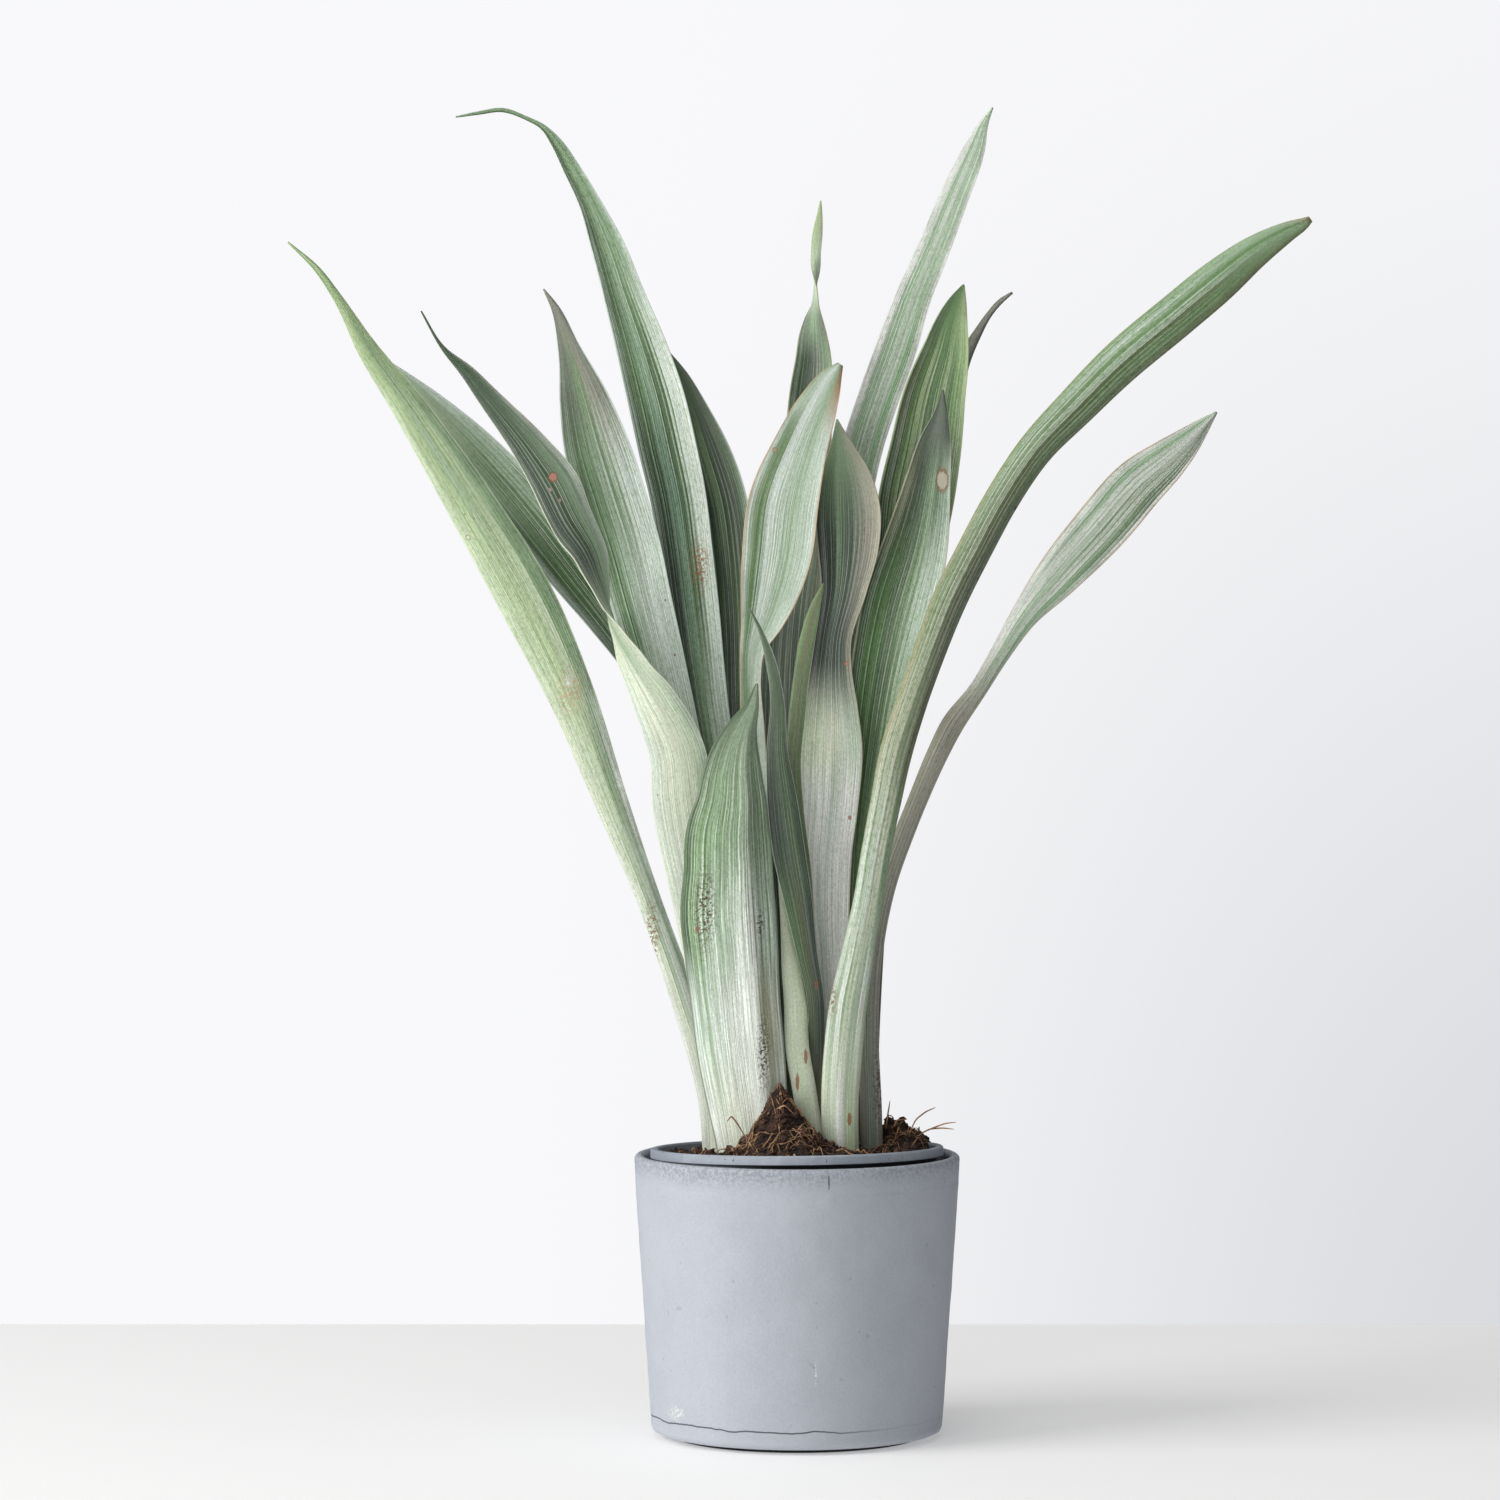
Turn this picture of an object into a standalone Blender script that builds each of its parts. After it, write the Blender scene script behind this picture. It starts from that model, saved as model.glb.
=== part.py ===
"""A snake plant growing in a plastic nursery pot, which stands in a concrete outer pot.

Metres, +Z up, the front of the plant towards -Y. The origin is the centre of the underside.
Leaf stations are in centimetres: x, y, z, width, turn and cup. Turn 0 shows the leaf's face to
the front and is counted in degrees about the leaf's spine. Cup is the half angle of the arc that
the leaf's cross-section makes, positive where its edges come forward.
"""

from math import cos, pi, radians, sin

import bmesh
import bpy
from mathutils import Matrix, Vector

CM = 0.01
CLEAR = 0.0003            # gap kept between pieces that touch
MERGE = 0.0001

# Outer pot
POT_TOP = 0.134           # height of the rim
POT_R_TOP = 0.0775
POT_R_BASE = 0.0692
POT_WALL = 0.0048
POT_FLOOR = 0.0118        # height of the inside floor
POT_CHAMFER = 0.003
FOOT_R = 0.0588
FOOT_HEIGHT = 0.002
POT_STEPS = 56

# Nursery pot, in its own frame with the rim's top at zero
NURSERY_R = 0.0698        # outside of the lip
NURSERY_LIP = 0.0041
NURSERY_WALL = 0.0012
NURSERY_DEPTH = 0.1220
NURSERY_R_BASE = 0.0480
NURSERY_RIM_Z = 0.1372
NURSERY_TILT_X = radians(-1.95)
NURSERY_TILT_Y = radians(-0.60)
DRAIN_HOLES = 6
DRAIN_R = 0.0045
DRAIN_RING = 0.032

# Soil
SOIL_LEVEL = 0.1328
SOIL_BOTTOM = 0.0178
SOIL_RINGS = 11
SOIL_STEPS = 48
# Each heap: x, y, height, reach along x, reach along y
SOIL_HEAPS = [
    (-0.0085, -0.033, 0.024, 0.014, 0.013),
    (0.0500, 0.004, 0.012, 0.013, 0.016),
    (0.0425, 0.002, 0.006, 0.005, 0.007),
    (-0.0050, 0.000, 0.004, 0.045, 0.040),
]

# Leaves
LEAF_THICK = 0.0026       # along the middle of a leaf
LEAF_MARGIN = 0.25        # share of that left at the edges
LEAF_TIP = 0.45           # share of that left where the leaf is narrow
LEAF_FULL = 0.012         # width from which a leaf has its full thickness
NARROWEST = 0.0006
LEAF_ACROSS = 4
LEAF_STEP = 0.024         # length of leaf for each row of faces
SOCKET_GROW = 0.0007      # how much wider and thicker a socket is than its leaf
SOCKET_TOP = 0.172        # a socket cutter follows its leaf up to here

LEAVES = {
    "leaf_far_left": [
        (-3.7, 1.3, 12.6, 1.5, 0, -15), (-3.9, 1.3, 15.5, 1.5, 0, -15), (-5.4, 1.4, 20.7, 1.25, 0, -15),
        (-7.1, 1.6, 25.5, 1.15, 0, -12), (-8.9, 1.8, 30.2, 1.6, 0, -12), (-10.7, 2, 35, 2.2, 0, -12),
        (-12.9, 2, 39.7, 2.7, 0, -12), (-15.7, 2, 44.5, 2.3, 0, -12), (-18.8, 2, 49.3, 1.5, 0, -12),
        (-20.5, 2.1, 51.7, 1, 0, -12), (-21.9, 2.2, 54.1, 0.45, 0, -10), (-22.9, 2.3, 55.5, 0.3, 0, 0),
        (-24.3, 2.5, 56.8, 0.08, 0, 0)],
    "leaf_left_back": [
        (-2.4, 2.6, 12.6, 1.8, 0, 15), (-2.5, 2.7, 15.5, 1.8, 0, 15), (-2.9, 3, 21.7, 1.7, 0, 15),
        (-3.9, 3.4, 27.9, 1.6, 0, 15), (-5.2, 3.7, 32.6, 1.5, 0, 15), (-7.3, 3.9, 36.3, 1.6, 0, 18),
        (-9.2, 4, 39, 2, 0, 20), (-10.9, 4.1, 41.3, 2.45, 0, 20), (-12.9, 4.1, 43.9, 2.65, 0, 20),
        (-15.3, 4.1, 46.7, 2.2, 0, 18), (-17.7, 4.1, 49.2, 1.3, 0, 15), (-19.8, 4.2, 51.3, 0.1, 0, 0)],
    "leaf_left_twisted": [
        (-3.1, -0.9, 12.6, 1.9, 0, -15), (-3.2, -0.9, 15.5, 1.9, 0, -15), (-4, -1, 21.7, 2.3, 0, -15),
        (-4.6, -1.1, 25.5, 2.6, 0, -15), (-5.4, -1.2, 30.2, 2.9, 0, -12),
        (-5.7, -1.2, 32.6, 2.65, 0, -10), (-6.8, -1.3, 35, 2.2, 18, -8), (-7.7, -1.3, 36.6, 2, 48, 0),
        (-8.75, -1.3, 38.7, 1.9, 80, 0), (-9.25, -1.4, 40.4, 2, 118, 5),
        (-9.8, -1.5, 42.1, 2.1, 140, 12), (-10.6, -1.6, 43.5, 2.2, 160, 15),
        (-11.4, -1.7, 45.2, 2.2, 175, 15), (-12.5, -1.8, 46.8, 1.75, 180, 15),
        (-14.5, -1.8, 49.2, 1.05, 180, 10), (-15.5, -1.8, 50.4, 0.7, 180, 5),
        (-16.7, -1.8, 51.6, 0.22, 180, 0), (-17.7, -1.8, 53.3, 0.08, 180, 0)],
    "leaf_tall_arched": [
        (-2.2, 0.7, 12.6, 2, 0, 25), (-2.3, 0.8, 15.5, 2, 0, 25), (-3.3, 1.1, 26.4, 2, 0, 30),
        (-3.9, 1.3, 31.7, 2.05, 0, 35), (-4.4, 1.5, 35, 2.2, 0, 38), (-5, 1.8, 39.7, 2.5, 0, 42),
        (-5.3, 1.9, 42.1, 2.55, 0, 45), (-5.65, 2.1, 44.6, 2.65, 0, 48), (-6.15, 2.2, 46.9, 2.75, 0, 48),
        (-6.7, 2.3, 49.3, 2.7, 0, 45), (-7.4, 2.5, 51.7, 2.4, 0, 40), (-8.2, 2.7, 54.1, 1.95, 0, 35),
        (-9, 2.9, 56.5, 1.6, 0, 30), (-10, 3.1, 58.9, 1, 0, 25), (-10.8, 3.2, 60.4, 0.8, 0, 15),
        (-11.5, 3.2, 61.6, 0.55, 0, 5), (-12.15, 3.2, 62.35, 0.28, 0, 0), (-12.9, 3.2, 62.75, 0.2, 0, 0),
        (-14.1, 3.1, 63.15, 0.22, 0, 0), (-15.2, 3, 63, 0.18, 0, 0), (-16.3, 2.9, 62.8, 0.08, 0, 0)],
    "leaf_left_inner": [
        (-2.7, -0.1, 12.6, 2, 0, 15), (-2.8, -0.1, 15.5, 2, 0, 15), (-3.6, 0, 23.1, 2, 0, 15),
        (-4.4, 0.2, 27.9, 2.1, 0, 15), (-5.4, 0.3, 31.7, 2.3, 0, 18), (-6.2, 0.4, 35, 2.5, 0, 20),
        (-6.8, 0.5, 37.4, 2.7, 0, 22), (-7.4, 0.6, 39.7, 2.9, 0, 25), (-8, 0.7, 42.1, 3.1, 0, 25),
        (-8.75, 0.8, 44.5, 3.2, 0, 25), (-9.5, 0.9, 46.9, 3.1, 0, 25), (-10.15, 1, 49.3, 2.3, 0, 25),
        (-10.85, 1.1, 51.7, 1.05, 0, 15), (-11.5, 1.2, 53.6, 0.4, 0, 0), (-12.05, 1.2, 54.5, 0.08, 0, 0)],
    "leaf_centre_dark": [
        (-1.8, 1.8, 12.6, 1.9, 0, 25), (-1.9, 1.9, 15.5, 1.9, 0, 25), (-2.3, 2.3, 23.1, 2, 0, 28),
        (-2.75, 2.7, 30.2, 2.2, 0, 30), (-2.95, 2.9, 35, 2.3, 0, 32), (-3.05, 3.1, 38.8, 2.4, 0, 35),
        (-3.25, 3.2, 41.6, 2.5, 0, 35), (-3.65, 3.3, 44.5, 2.5, 0, 35), (-4.35, 3.5, 46.9, 2.2, 0, 30),
        (-4.95, 3.6, 48.8, 1.45, 0, 20), (-5.5, 3.7, 50.4, 0.7, 0, 10), (-6.2, 3.8, 51.7, 0.08, 0, 0)],
    "leaf_centre_broad": [
        (-1.3, -0.7, 12.6, 1.4, 0, 25), (-1.35, -0.7, 15.5, 1.4, 0, 25), (-1.7, -0.6, 23.1, 1.4, 0, 30),
        (-1.95, -0.5, 30.2, 1.3, 0, 35), (-2.1, -0.4, 33.8, 1.1, 0, 35), (-2.2, -0.4, 36, 1, 0, 35),
        (-2.1, -0.4, 37.4, 1.2, 0, 35), (-1.65, -0.4, 38.8, 2.1, 0, 30), (-1.35, -0.4, 39.9, 2.7, 0, 26),
        (-1, -0.4, 41.6, 3.25, 0, 22), (-0.6, -0.4, 44.5, 3.3, 0, 22), (0.15, -0.5, 46.9, 2.6, 0, 20),
        (1.1, -0.6, 49.2, 1.75, 0, 15), (1.6, -0.6, 50.2, 1.1, 0, 10), (2.05, -0.6, 50.85, 0.3, 0, 0)],
    "leaf_centre_spire": [
        (0.1, 0.5, 12.6, 1.7, 0, 20), (0.1, 0.6, 15.5, 1.8, 0, 20), (-0.1, 1.1, 25.5, 2.6, 0, 22),
        (-0.45, 1.6, 33.1, 3.1, 0, 25), (-0.2, 1.9, 38.8, 3, 0, 25), (0.45, 2.1, 43.5, 2.3, 0, 28),
        (0.55, 2.3, 47.3, 2.2, 0, 30), (0.7, 2.4, 49.8, 2, 0, 32), (0.8, 2.5, 51.2, 1.7, 0, 35),
        (0.8, 2.5, 52.2, 1.4, 5, 30), (0.85, 2.6, 53.1, 1, 30, 20), (0.9, 2.6, 53.8, 0.7, 62, 5),
        (0.9, 2.6, 54.5, 0.55, 75, 0), (0.92, 2.7, 55.3, 0.5, 130, 0), (0.92, 2.7, 56.2, 0.48, 180, 0),
        (1, 2.8, 57.2, 0.48, 180, 0), (1.1, 2.8, 58.1, 0.28, 180, 0), (1.15, 2.8, 58.8, 0.07, 180, 0)],
    "leaf_right_inner": [
        (1.7, -0.7, 12.6, 1.6, 0, 20), (1.7, -0.7, 15.5, 1.6, 0, 20), (1.55, -0.6, 19.3, 1.75, 0, 20),
        (1.4, -0.5, 22.6, 2.1, 0, 18), (1.25, -0.4, 25.5, 2.5, 0, 15), (1.3, -0.3, 27.9, 2.65, 0, 15),
        (1.5, -0.2, 30.2, 2.85, 0, 15), (1.6, -0.1, 32.6, 3, 0, 15), (1.6, 0.1, 34.5, 2.6, 0, 18),
        (1.6, 0.2, 36.4, 2, 0, 22), (1.7, 0.3, 37.8, 1.75, 0, 28), (2.2, 0.4, 40.2, 2.2, 0, 28),
        (2.4, 0.5, 42.1, 2.9, 0, 28), (2.4, 0.6, 44, 3.1, 0, 26), (2.25, 0.7, 45.9, 2.2, 0, 22),
        (2.1, 0.7, 47.1, 1.05, 0, 10), (1.9, 0.8, 48.3, 0.08, 0, 0)],
    "leaf_tall_right": [
        (1.6, 1.9, 12.6, 1.6, 0, 15), (1.7, 2, 15.5, 1.6, 0, 15), (1.9, 2.7, 27.9, 1.6, 0, 15),
        (2, 3.1, 35.9, 1.7, 0, 15), (2.25, 3.4, 41.2, 1.8, 0, 12), (2.65, 3.6, 44.5, 1.9, 0, 12),
        (3.25, 3.8, 47.3, 1.95, 0, 12), (3.9, 3.9, 49.3, 1.95, 0, 12), (4.8, 4.1, 51.8, 1.95, 0, 12),
        (5.6, 4.2, 54.2, 1.7, 0, 12), (6.6, 4.3, 56.6, 1.55, 0, 12), (7.55, 4.4, 59, 1.4, 0, 12),
        (8.6, 4.5, 61.5, 1, 0, 10), (9, 4.6, 62.6, 0.5, 0, 5), (9.45, 4.6, 63.4, 0.08, 0, 0)],
    "leaf_right_broad": [
        (2.6, 1, 12.6, 1.7, 0, 20), (2.6, 1.1, 15.5, 1.7, 0, 20), (3, 1.4, 23.1, 1.8, 0, 20),
        (3.5, 1.7, 30.2, 2, 0, 22), (4.1, 2, 35, 2.3, 0, 25), (4.8, 2.2, 38.8, 2.8, 0, 27),
        (5.35, 2.3, 42.1, 3.3, 0, 28), (5.7, 2.5, 44.5, 3.6, 0, 28), (6.15, 2.6, 46.9, 3.4, 0, 28),
        (6.55, 2.7, 49.3, 3, 0, 26), (7.15, 2.8, 51.7, 2.2, 0, 22), (7.4, 2.8, 52.9, 1.6, 0, 18),
        (7.75, 2.9, 54.1, 0.8, 0, 10), (8, 2.9, 54.8, 0.1, 0, 0)],
    "leaf_thin_tip": [
        (3, 2.5, 12.6, 1.5, 0, 20), (3.1, 2.6, 15.5, 1.5, 0, 20), (3.4, 3, 23.1, 1.6, 0, 22),
        (4, 3.4, 30.2, 1.6, 0, 25), (4.7, 3.7, 35.9, 1.6, 0, 25), (5.55, 4, 40.7, 1.6, 0, 25),
        (6.3, 4.2, 44.5, 1.5, 0, 25), (6.9, 4.3, 47.4, 1.4, 0, 25), (7.5, 4.4, 49.9, 1.1, 0, 20),
        (8.1, 4.5, 51.4, 0.7, 0, 10), (8.7, 4.5, 52.5, 0.45, 0, 0), (9.25, 4.5, 53.4, 0.3, 0, 0),
        (9.85, 4.5, 54.1, 0.26, 0, 0), (10.4, 4.5, 54.5, 0.12, 0, 0)],
    "leaf_right_front": [
        (2.5, 0.1, 12.6, 1.6, 0, 20), (2.5, 0.1, 15.5, 1.6, 0, 20), (2.85, 0.3, 24.1, 1.8, 0, 22),
        (3.1, 0.4, 28.8, 2.1, 0, 25), (3.5, 0.6, 32.1, 2.6, 0, 28), (3.9, 0.7, 35, 3, 0, 30),
        (4.35, 0.8, 37.4, 3.3, 0, 30), (4.9, 0.9, 39.7, 3.5, 0, 30), (5.45, 1, 41.6, 3.25, 0, 30),
        (5.9, 1.1, 43.5, 2.75, 0, 28), (6.25, 1.2, 45.4, 2.15, 0, 25), (6.6, 1.3, 47.3, 1.5, 0, 18),
        (6.85, 1.4, 48.5, 0.75, 0, 10), (6.95, 1.4, 49.7, 0.1, 0, 0)],
    "leaf_right_arching": [
        (2.15, -2.9, 12.2, 1.6, 0, -35), (2, -2.9, 16, 1.75, 0, -40), (2.15, -2.9, 18.4, 1.8, 0, -42),
        (2.4, -2.9, 20.7, 1.75, 0, -45), (2.85, -2.9, 23.1, 1.5, 0, -50),
        (3.3, -2.9, 25.5, 1.35, 0, -52), (3.7, -2.9, 27.9, 1.35, 0, -55),
        (4.15, -2.9, 30.2, 1.4, 0, -55), (4.65, -2.8, 32.6, 1.5, 0, -55), (5.4, -2.8, 35, 1.45, 0, -55),
        (6.25, -2.7, 37.4, 1.5, 0, -55), (7.15, -2.6, 39.7, 1.6, 0, -55),
        (8.35, -2.5, 42.1, 1.6, 0, -55), (9.65, -2.4, 44.5, 1.6, 0, -55),
        (11.2, -2.3, 46.8, 1.65, 0, -55), (13.1, -2.2, 48.8, 1.85, 0, -52), (15, -2.1, 50.7, 2, 0, -50),
        (17.85, -2.1, 53.1, 2.05, 0, -45), (19.9, -2.1, 54.8, 1.95, 0, -40),
        (21.4, -2.1, 56, 1.55, 0, -35), (23.1, -2.1, 57.05, 0.9, 0, -25),
        (23.8, -2.1, 57.4, 0.55, 0, -15), (24.1, -2.1, 57.6, 0.3, 0, 0)],
    "leaf_right_lower": [
        (3.55, -1.5, 12.6, 1, 0, -45), (3.5, -1.4, 15.5, 1, 0, -50), (3.4, -1.2, 19.3, 0.9, 0, -55),
        (3.6, -0.9, 23, 0.9, 0, -60), (4.3, -0.5, 26.4, 0.9, 0, -60), (5.05, -0.2, 28.5, 0.9, 0, -60),
        (5.7, 0.1, 30.1, 0.9, 0, -60), (6.8, 0.6, 32.6, 1, 0, -55), (7.45, 1.2, 33.8, 1.05, 0, -50),
        (8.55, 1.3, 35.3, 0.85, 0, -50), (9.8, 1.5, 37.3, 0.95, 0, -35),
        (10.75, 1.6, 38.8, 1.25, 0, -20), (12.4, 1.8, 40.8, 2.1, 0, 0), (14.55, 2.1, 43.2, 2.6, 0, 12),
        (16.4, 2.3, 45.3, 2.5, 0, 15), (17.7, 2.4, 46.4, 2, 0, 15), (18.8, 2.5, 47.4, 1.3, 0, 12),
        (19.6, 2.6, 48.2, 0.6, 0, 5), (20.1, 2.6, 48.7, 0.1, 0, 0)],
    "leaf_front_folded": [
        (-2, -2.9, 12.6, 3, 0, -35), (-2.2, -3, 15, 3.6, 0, -38), (-2.4, -3, 16.5, 3.85, 0, -38),
        (-2.65, -3.1, 18.4, 4.1, 0, -38), (-2.9, -3.1, 20.7, 4.2, 0, -38),
        (-3.1, -3.2, 23.1, 4.4, 0, -38), (-3.25, -3.2, 25, 4.5, 0, -38),
        (-3.25, -3.2, 26.9, 4.2, 0, -36), (-3.25, -3.2, 28.8, 3.95, 0, -34),
        (-3.1, -3.2, 30.2, 3.35, 0, -32), (-3.05, -3.1, 31.4, 2.85, 0, -30),
        (-2.9, -3.1, 32.6, 2.25, 0, -26), (-2.55, -3, 33.8, 1.35, 0, -20),
        (-2.15, -3, 34.7, 0.7, 0, -10), (-1.9, -3, 35.8, 0.12, 0, 0)],
    "leaf_young_olive": [
        (0.85, -1.5, 12.6, 0.8, 0, -10), (0.85, -1.5, 15.5, 0.8, 0, -10),
        (0.92, -1.8, 18.8, 0.75, 0, -15), (0.82, -2.4, 21.2, 0.8, 0, -20),
        (0.45, -2.7, 23.1, 0.95, 0, -22), (0.05, -2.8, 25.5, 1.3, 0, -25),
        (-0.4, -2.8, 27.9, 1.5, 0, -25), (-0.7, -2.8, 30.2, 1.4, 0, -25), (-0.95, -2.8, 32.6, 1, 0, -22),
        (-0.95, -2.7, 35, 0.65, 0, -15), (-1.3, -2.6, 37, 0.45, 0, 0), (-1.75, -2.5, 38.3, 0.22, 0, 0),
        (-2.3, -2.4, 39.4, 0.07, 0, 0)],
    "leaf_sheath": [
        (0.9, -2.5, 12.6, 1.1, 0, -30), (0.65, -2.5, 14.5, 1.1, 0, -30), (0.35, -2.4, 16.5, 1.1, 0, -30),
        (0, -2.2, 18.6, 1.1, 0, -25), (-0.1, -2.1, 20.7, 1.05, 0, -20), (-0.35, -2, 22.6, 0.8, 0, -15),
        (-0.6, -2, 24.5, 0.4, 0, -10), (-0.9, -2, 27, 0.08, 0, 0)],
    "leaf_young_narrow": [
        (0.4, -1, 12.6, 0.7, 0, 0), (0.45, -1.1, 15.5, 0.7, 0, 0), (0.5, -1.3, 19.3, 0.7, 0, 0),
        (0.5, -1.5, 23.1, 0.7, 0, -5), (0.3, -1.6, 26.9, 0.7, 0, -8), (-0.05, -1.7, 29.8, 0.7, 0, -10),
        (-0.2, -1.7, 32.1, 0.72, 0, -10), (-0.05, -1.7, 34, 0.75, 0, -10),
        (0.15, -1.7, 35.9, 0.72, 0, -10), (0.5, -1.7, 38, 0.7, 0, -8), (0.95, -1.6, 39.7, 0.4, 0, 0),
        (1.25, -1.6, 40.5, 0.07, 0, 0)],
}

COLOURS = {
    "pot": (0.47, 0.50, 0.54), "foot": (0.02, 0.02, 0.02), "nursery": (0.26, 0.29, 0.32),
    "soil": (0.06, 0.03, 0.02), "leaf": (0.42, 0.55, 0.42),
}


def clear_scene():
    for item in list(bpy.data.objects):
        bpy.data.objects.remove(item, do_unlink=True)


def collection(name):
    made = bpy.data.collections.new(name)
    bpy.context.scene.collection.children.link(made)
    return made


def material(name, colour, roughness, metallic=0.0):
    made = bpy.data.materials.new(name)
    made.use_nodes = True
    shader = made.node_tree.nodes["Principled BSDF"]
    shader.inputs["Base Color"].default_value = (*colour, 1.0)
    shader.inputs["Roughness"].default_value = roughness
    shader.inputs["Metallic"].default_value = metallic
    return made


def new_object(name, mesh, group, finish=None):
    made = bpy.data.objects.new(name, mesh)
    group.objects.link(made)
    if finish:
        mesh.materials.append(finish)
    return made


def as_cutter(item):
    item.hide_render = True
    item.display_type = "WIRE"
    return item


def cut(target, cutter):
    modifier = target.modifiers.new("cut_" + cutter.name, "BOOLEAN")
    modifier.operation = "DIFFERENCE"
    modifier.solver = "EXACT"
    modifier.object = cutter


def turned(name, profile, steps, group, finish=None):
    """A solid of revolution about Z, from radius and height pairs that run down its outside."""
    mesh = bpy.data.meshes.new(name)
    edges = [(i, i + 1) for i in range(len(profile) - 1)]
    mesh.from_pydata([(r, 0.0, z) for r, z in profile], edges, [])
    made = new_object(name, mesh, group, finish)
    screw = made.modifiers.new("turn", "SCREW")
    screw.steps = steps
    screw.render_steps = steps
    screw.use_merge_vertices = True
    screw.merge_threshold = MERGE
    screw.use_smooth_shade = True
    return made


def rounded(centre_r, centre_z, radius, start, end, count):
    """Points on an arc of a turned profile, between two angles in degrees."""
    turns = [radians(start + (end - start) * i / count) for i in range(count + 1)]
    return [(centre_r + radius * cos(a), centre_z + radius * sin(a)) for a in turns]


def pot_radius(z):
    """Outside radius of the outer pot at a height."""
    share = (z - FOOT_HEIGHT) / (POT_TOP - FOOT_HEIGHT)
    return POT_R_BASE + (POT_R_TOP - POT_R_BASE) * share


def outer_pot(group, finish):
    half = POT_WALL / 2
    low = FOOT_HEIGHT + CLEAR
    rim = rounded(POT_R_TOP - half, POT_TOP - half, half, 180, 0, 6)
    profile = [(0.0, POT_FLOOR), (pot_radius(POT_FLOOR) - POT_WALL - 0.004, POT_FLOOR)]
    profile += [(pot_radius(POT_FLOOR + 0.004) - POT_WALL, POT_FLOOR + 0.004)]
    profile += rim
    profile += [(pot_radius(low + POT_CHAMFER), low + POT_CHAMFER)]
    profile += [(pot_radius(low) - POT_CHAMFER, low), (0.0, low)]
    return turned("cachepot", profile, POT_STEPS, group, finish)


def foot_pad(group, finish):
    profile = [(0.0, FOOT_HEIGHT), (FOOT_R, FOOT_HEIGHT), (FOOT_R, 0.0), (0.0, 0.0)]
    return turned("foot_pad", profile, POT_STEPS, group, finish)


def nursery_frame():
    """Where the nursery pot leans in the outer pot."""
    lean = Matrix.Rotation(NURSERY_TILT_Y, 4, "Y") @ Matrix.Rotation(NURSERY_TILT_X, 4, "X")
    return Matrix.Translation((0, 0, NURSERY_RIM_Z)) @ lean


def nursery_radius(z):
    """Outside radius of the nursery pot's wall, z below its rim."""
    top = NURSERY_R - 0.0026
    return top + (NURSERY_R_BASE - top) * -z / NURSERY_DEPTH


def nursery_pot(group, cutters, finish):
    wall = NURSERY_WALL
    under = -NURSERY_LIP
    bottom = -NURSERY_DEPTH
    floor = bottom + 1.5 * wall
    profile = [(0.0, floor), (nursery_radius(floor) - wall, floor)]
    profile += [(nursery_radius(-0.006) - wall, -0.006), (nursery_radius(0.0) - wall, -0.0008)]
    profile += [(nursery_radius(0.0) - wall + 0.0006, 0.0), (NURSERY_R - 0.0008, 0.0)]
    profile += [(NURSERY_R - 0.0002, -0.0006), (NURSERY_R, under), (NURSERY_R - wall, under)]
    profile += [(nursery_radius(-0.003) + 0.0004, -0.003), (nursery_radius(-0.008), -0.008)]
    profile += [(NURSERY_R_BASE + 0.0006, bottom + 0.0015), (NURSERY_R_BASE - 0.001, bottom)]
    profile += [(0.0, bottom)]
    pot = turned("nursery_pot", profile, POT_STEPS, group, finish)
    pot.matrix_world = nursery_frame()
    drains = bmesh.new()
    for i in range(DRAIN_HOLES):
        turn = 2 * pi * (i + 0.5) / DRAIN_HOLES
        place = Matrix.Translation((DRAIN_RING * cos(turn), DRAIN_RING * sin(turn), bottom))
        bmesh.ops.create_cone(
            drains, cap_ends=True, segments=16, radius1=DRAIN_R, radius2=DRAIN_R,
            depth=0.008, matrix=place)
    mesh = bpy.data.meshes.new("drain_cutter")
    drains.to_mesh(mesh)
    drains.free()
    cutter = as_cutter(new_object("drain_cutter", mesh, cutters))
    cutter.matrix_world = nursery_frame()
    cut(pot, cutter)
    return pot


def heap_height(x, y):
    """How far the soil stands above its level at a place."""
    height = 0.0
    for cx, cy, tall, reach_x, reach_y in SOIL_HEAPS:
        apart = ((x - cx) / reach_x) ** 2 + ((y - cy) / reach_y) ** 2
        height += tall / (1.0 + apart) ** 2
    return height


def soil(group, cutters, finish):
    """A tapered plug of soil whose top is insets of one disc, raised into heaps."""
    frame = nursery_frame()
    lean = frame.inverted()
    inner_top = nursery_radius(0.0) - NURSERY_WALL - CLEAR - 0.0007
    top_z = SOIL_LEVEL - NURSERY_RIM_Z
    low_z = SOIL_BOTTOM - NURSERY_RIM_Z
    inner_low = nursery_radius(low_z) - NURSERY_WALL - CLEAR - 0.0008
    work = bmesh.new()
    bmesh.ops.create_cone(
        work, cap_ends=True, segments=SOIL_STEPS, radius1=inner_low, radius2=inner_top,
        depth=top_z - low_z, matrix=Matrix.Translation((0, 0, (top_z + low_z) / 2)))
    work.faces.ensure_lookup_table()
    top = max(work.faces, key=lambda face: face.calc_center_median().z)
    ring = inner_top * 0.985 / SOIL_RINGS
    for _ in range(SOIL_RINGS - 1):
        bmesh.ops.inset_region(work, faces=[top], thickness=ring, use_even_offset=True)
    bmesh.ops.poke(work, faces=[top])
    for vertex in work.verts:
        radius = Vector((vertex.co.x, vertex.co.y)).length
        if abs(vertex.co.z - top_z) < MERGE and radius < inner_top - MERGE:
            here = frame @ vertex.co
            rise = heap_height(here.x, here.y) * min(1.0, (inner_top - radius) / (2 * ring))
            vertex.co += lean.to_3x3() @ Vector((0, 0, rise))
    mesh = bpy.data.meshes.new("soil")
    work.to_mesh(mesh)
    work.free()
    plug = new_object("soil", mesh, group, finish)
    plug.matrix_world = frame
    for name in LEAVES:
        cut(plug, socket_cutter(name, cutters))
    return plug


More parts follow.
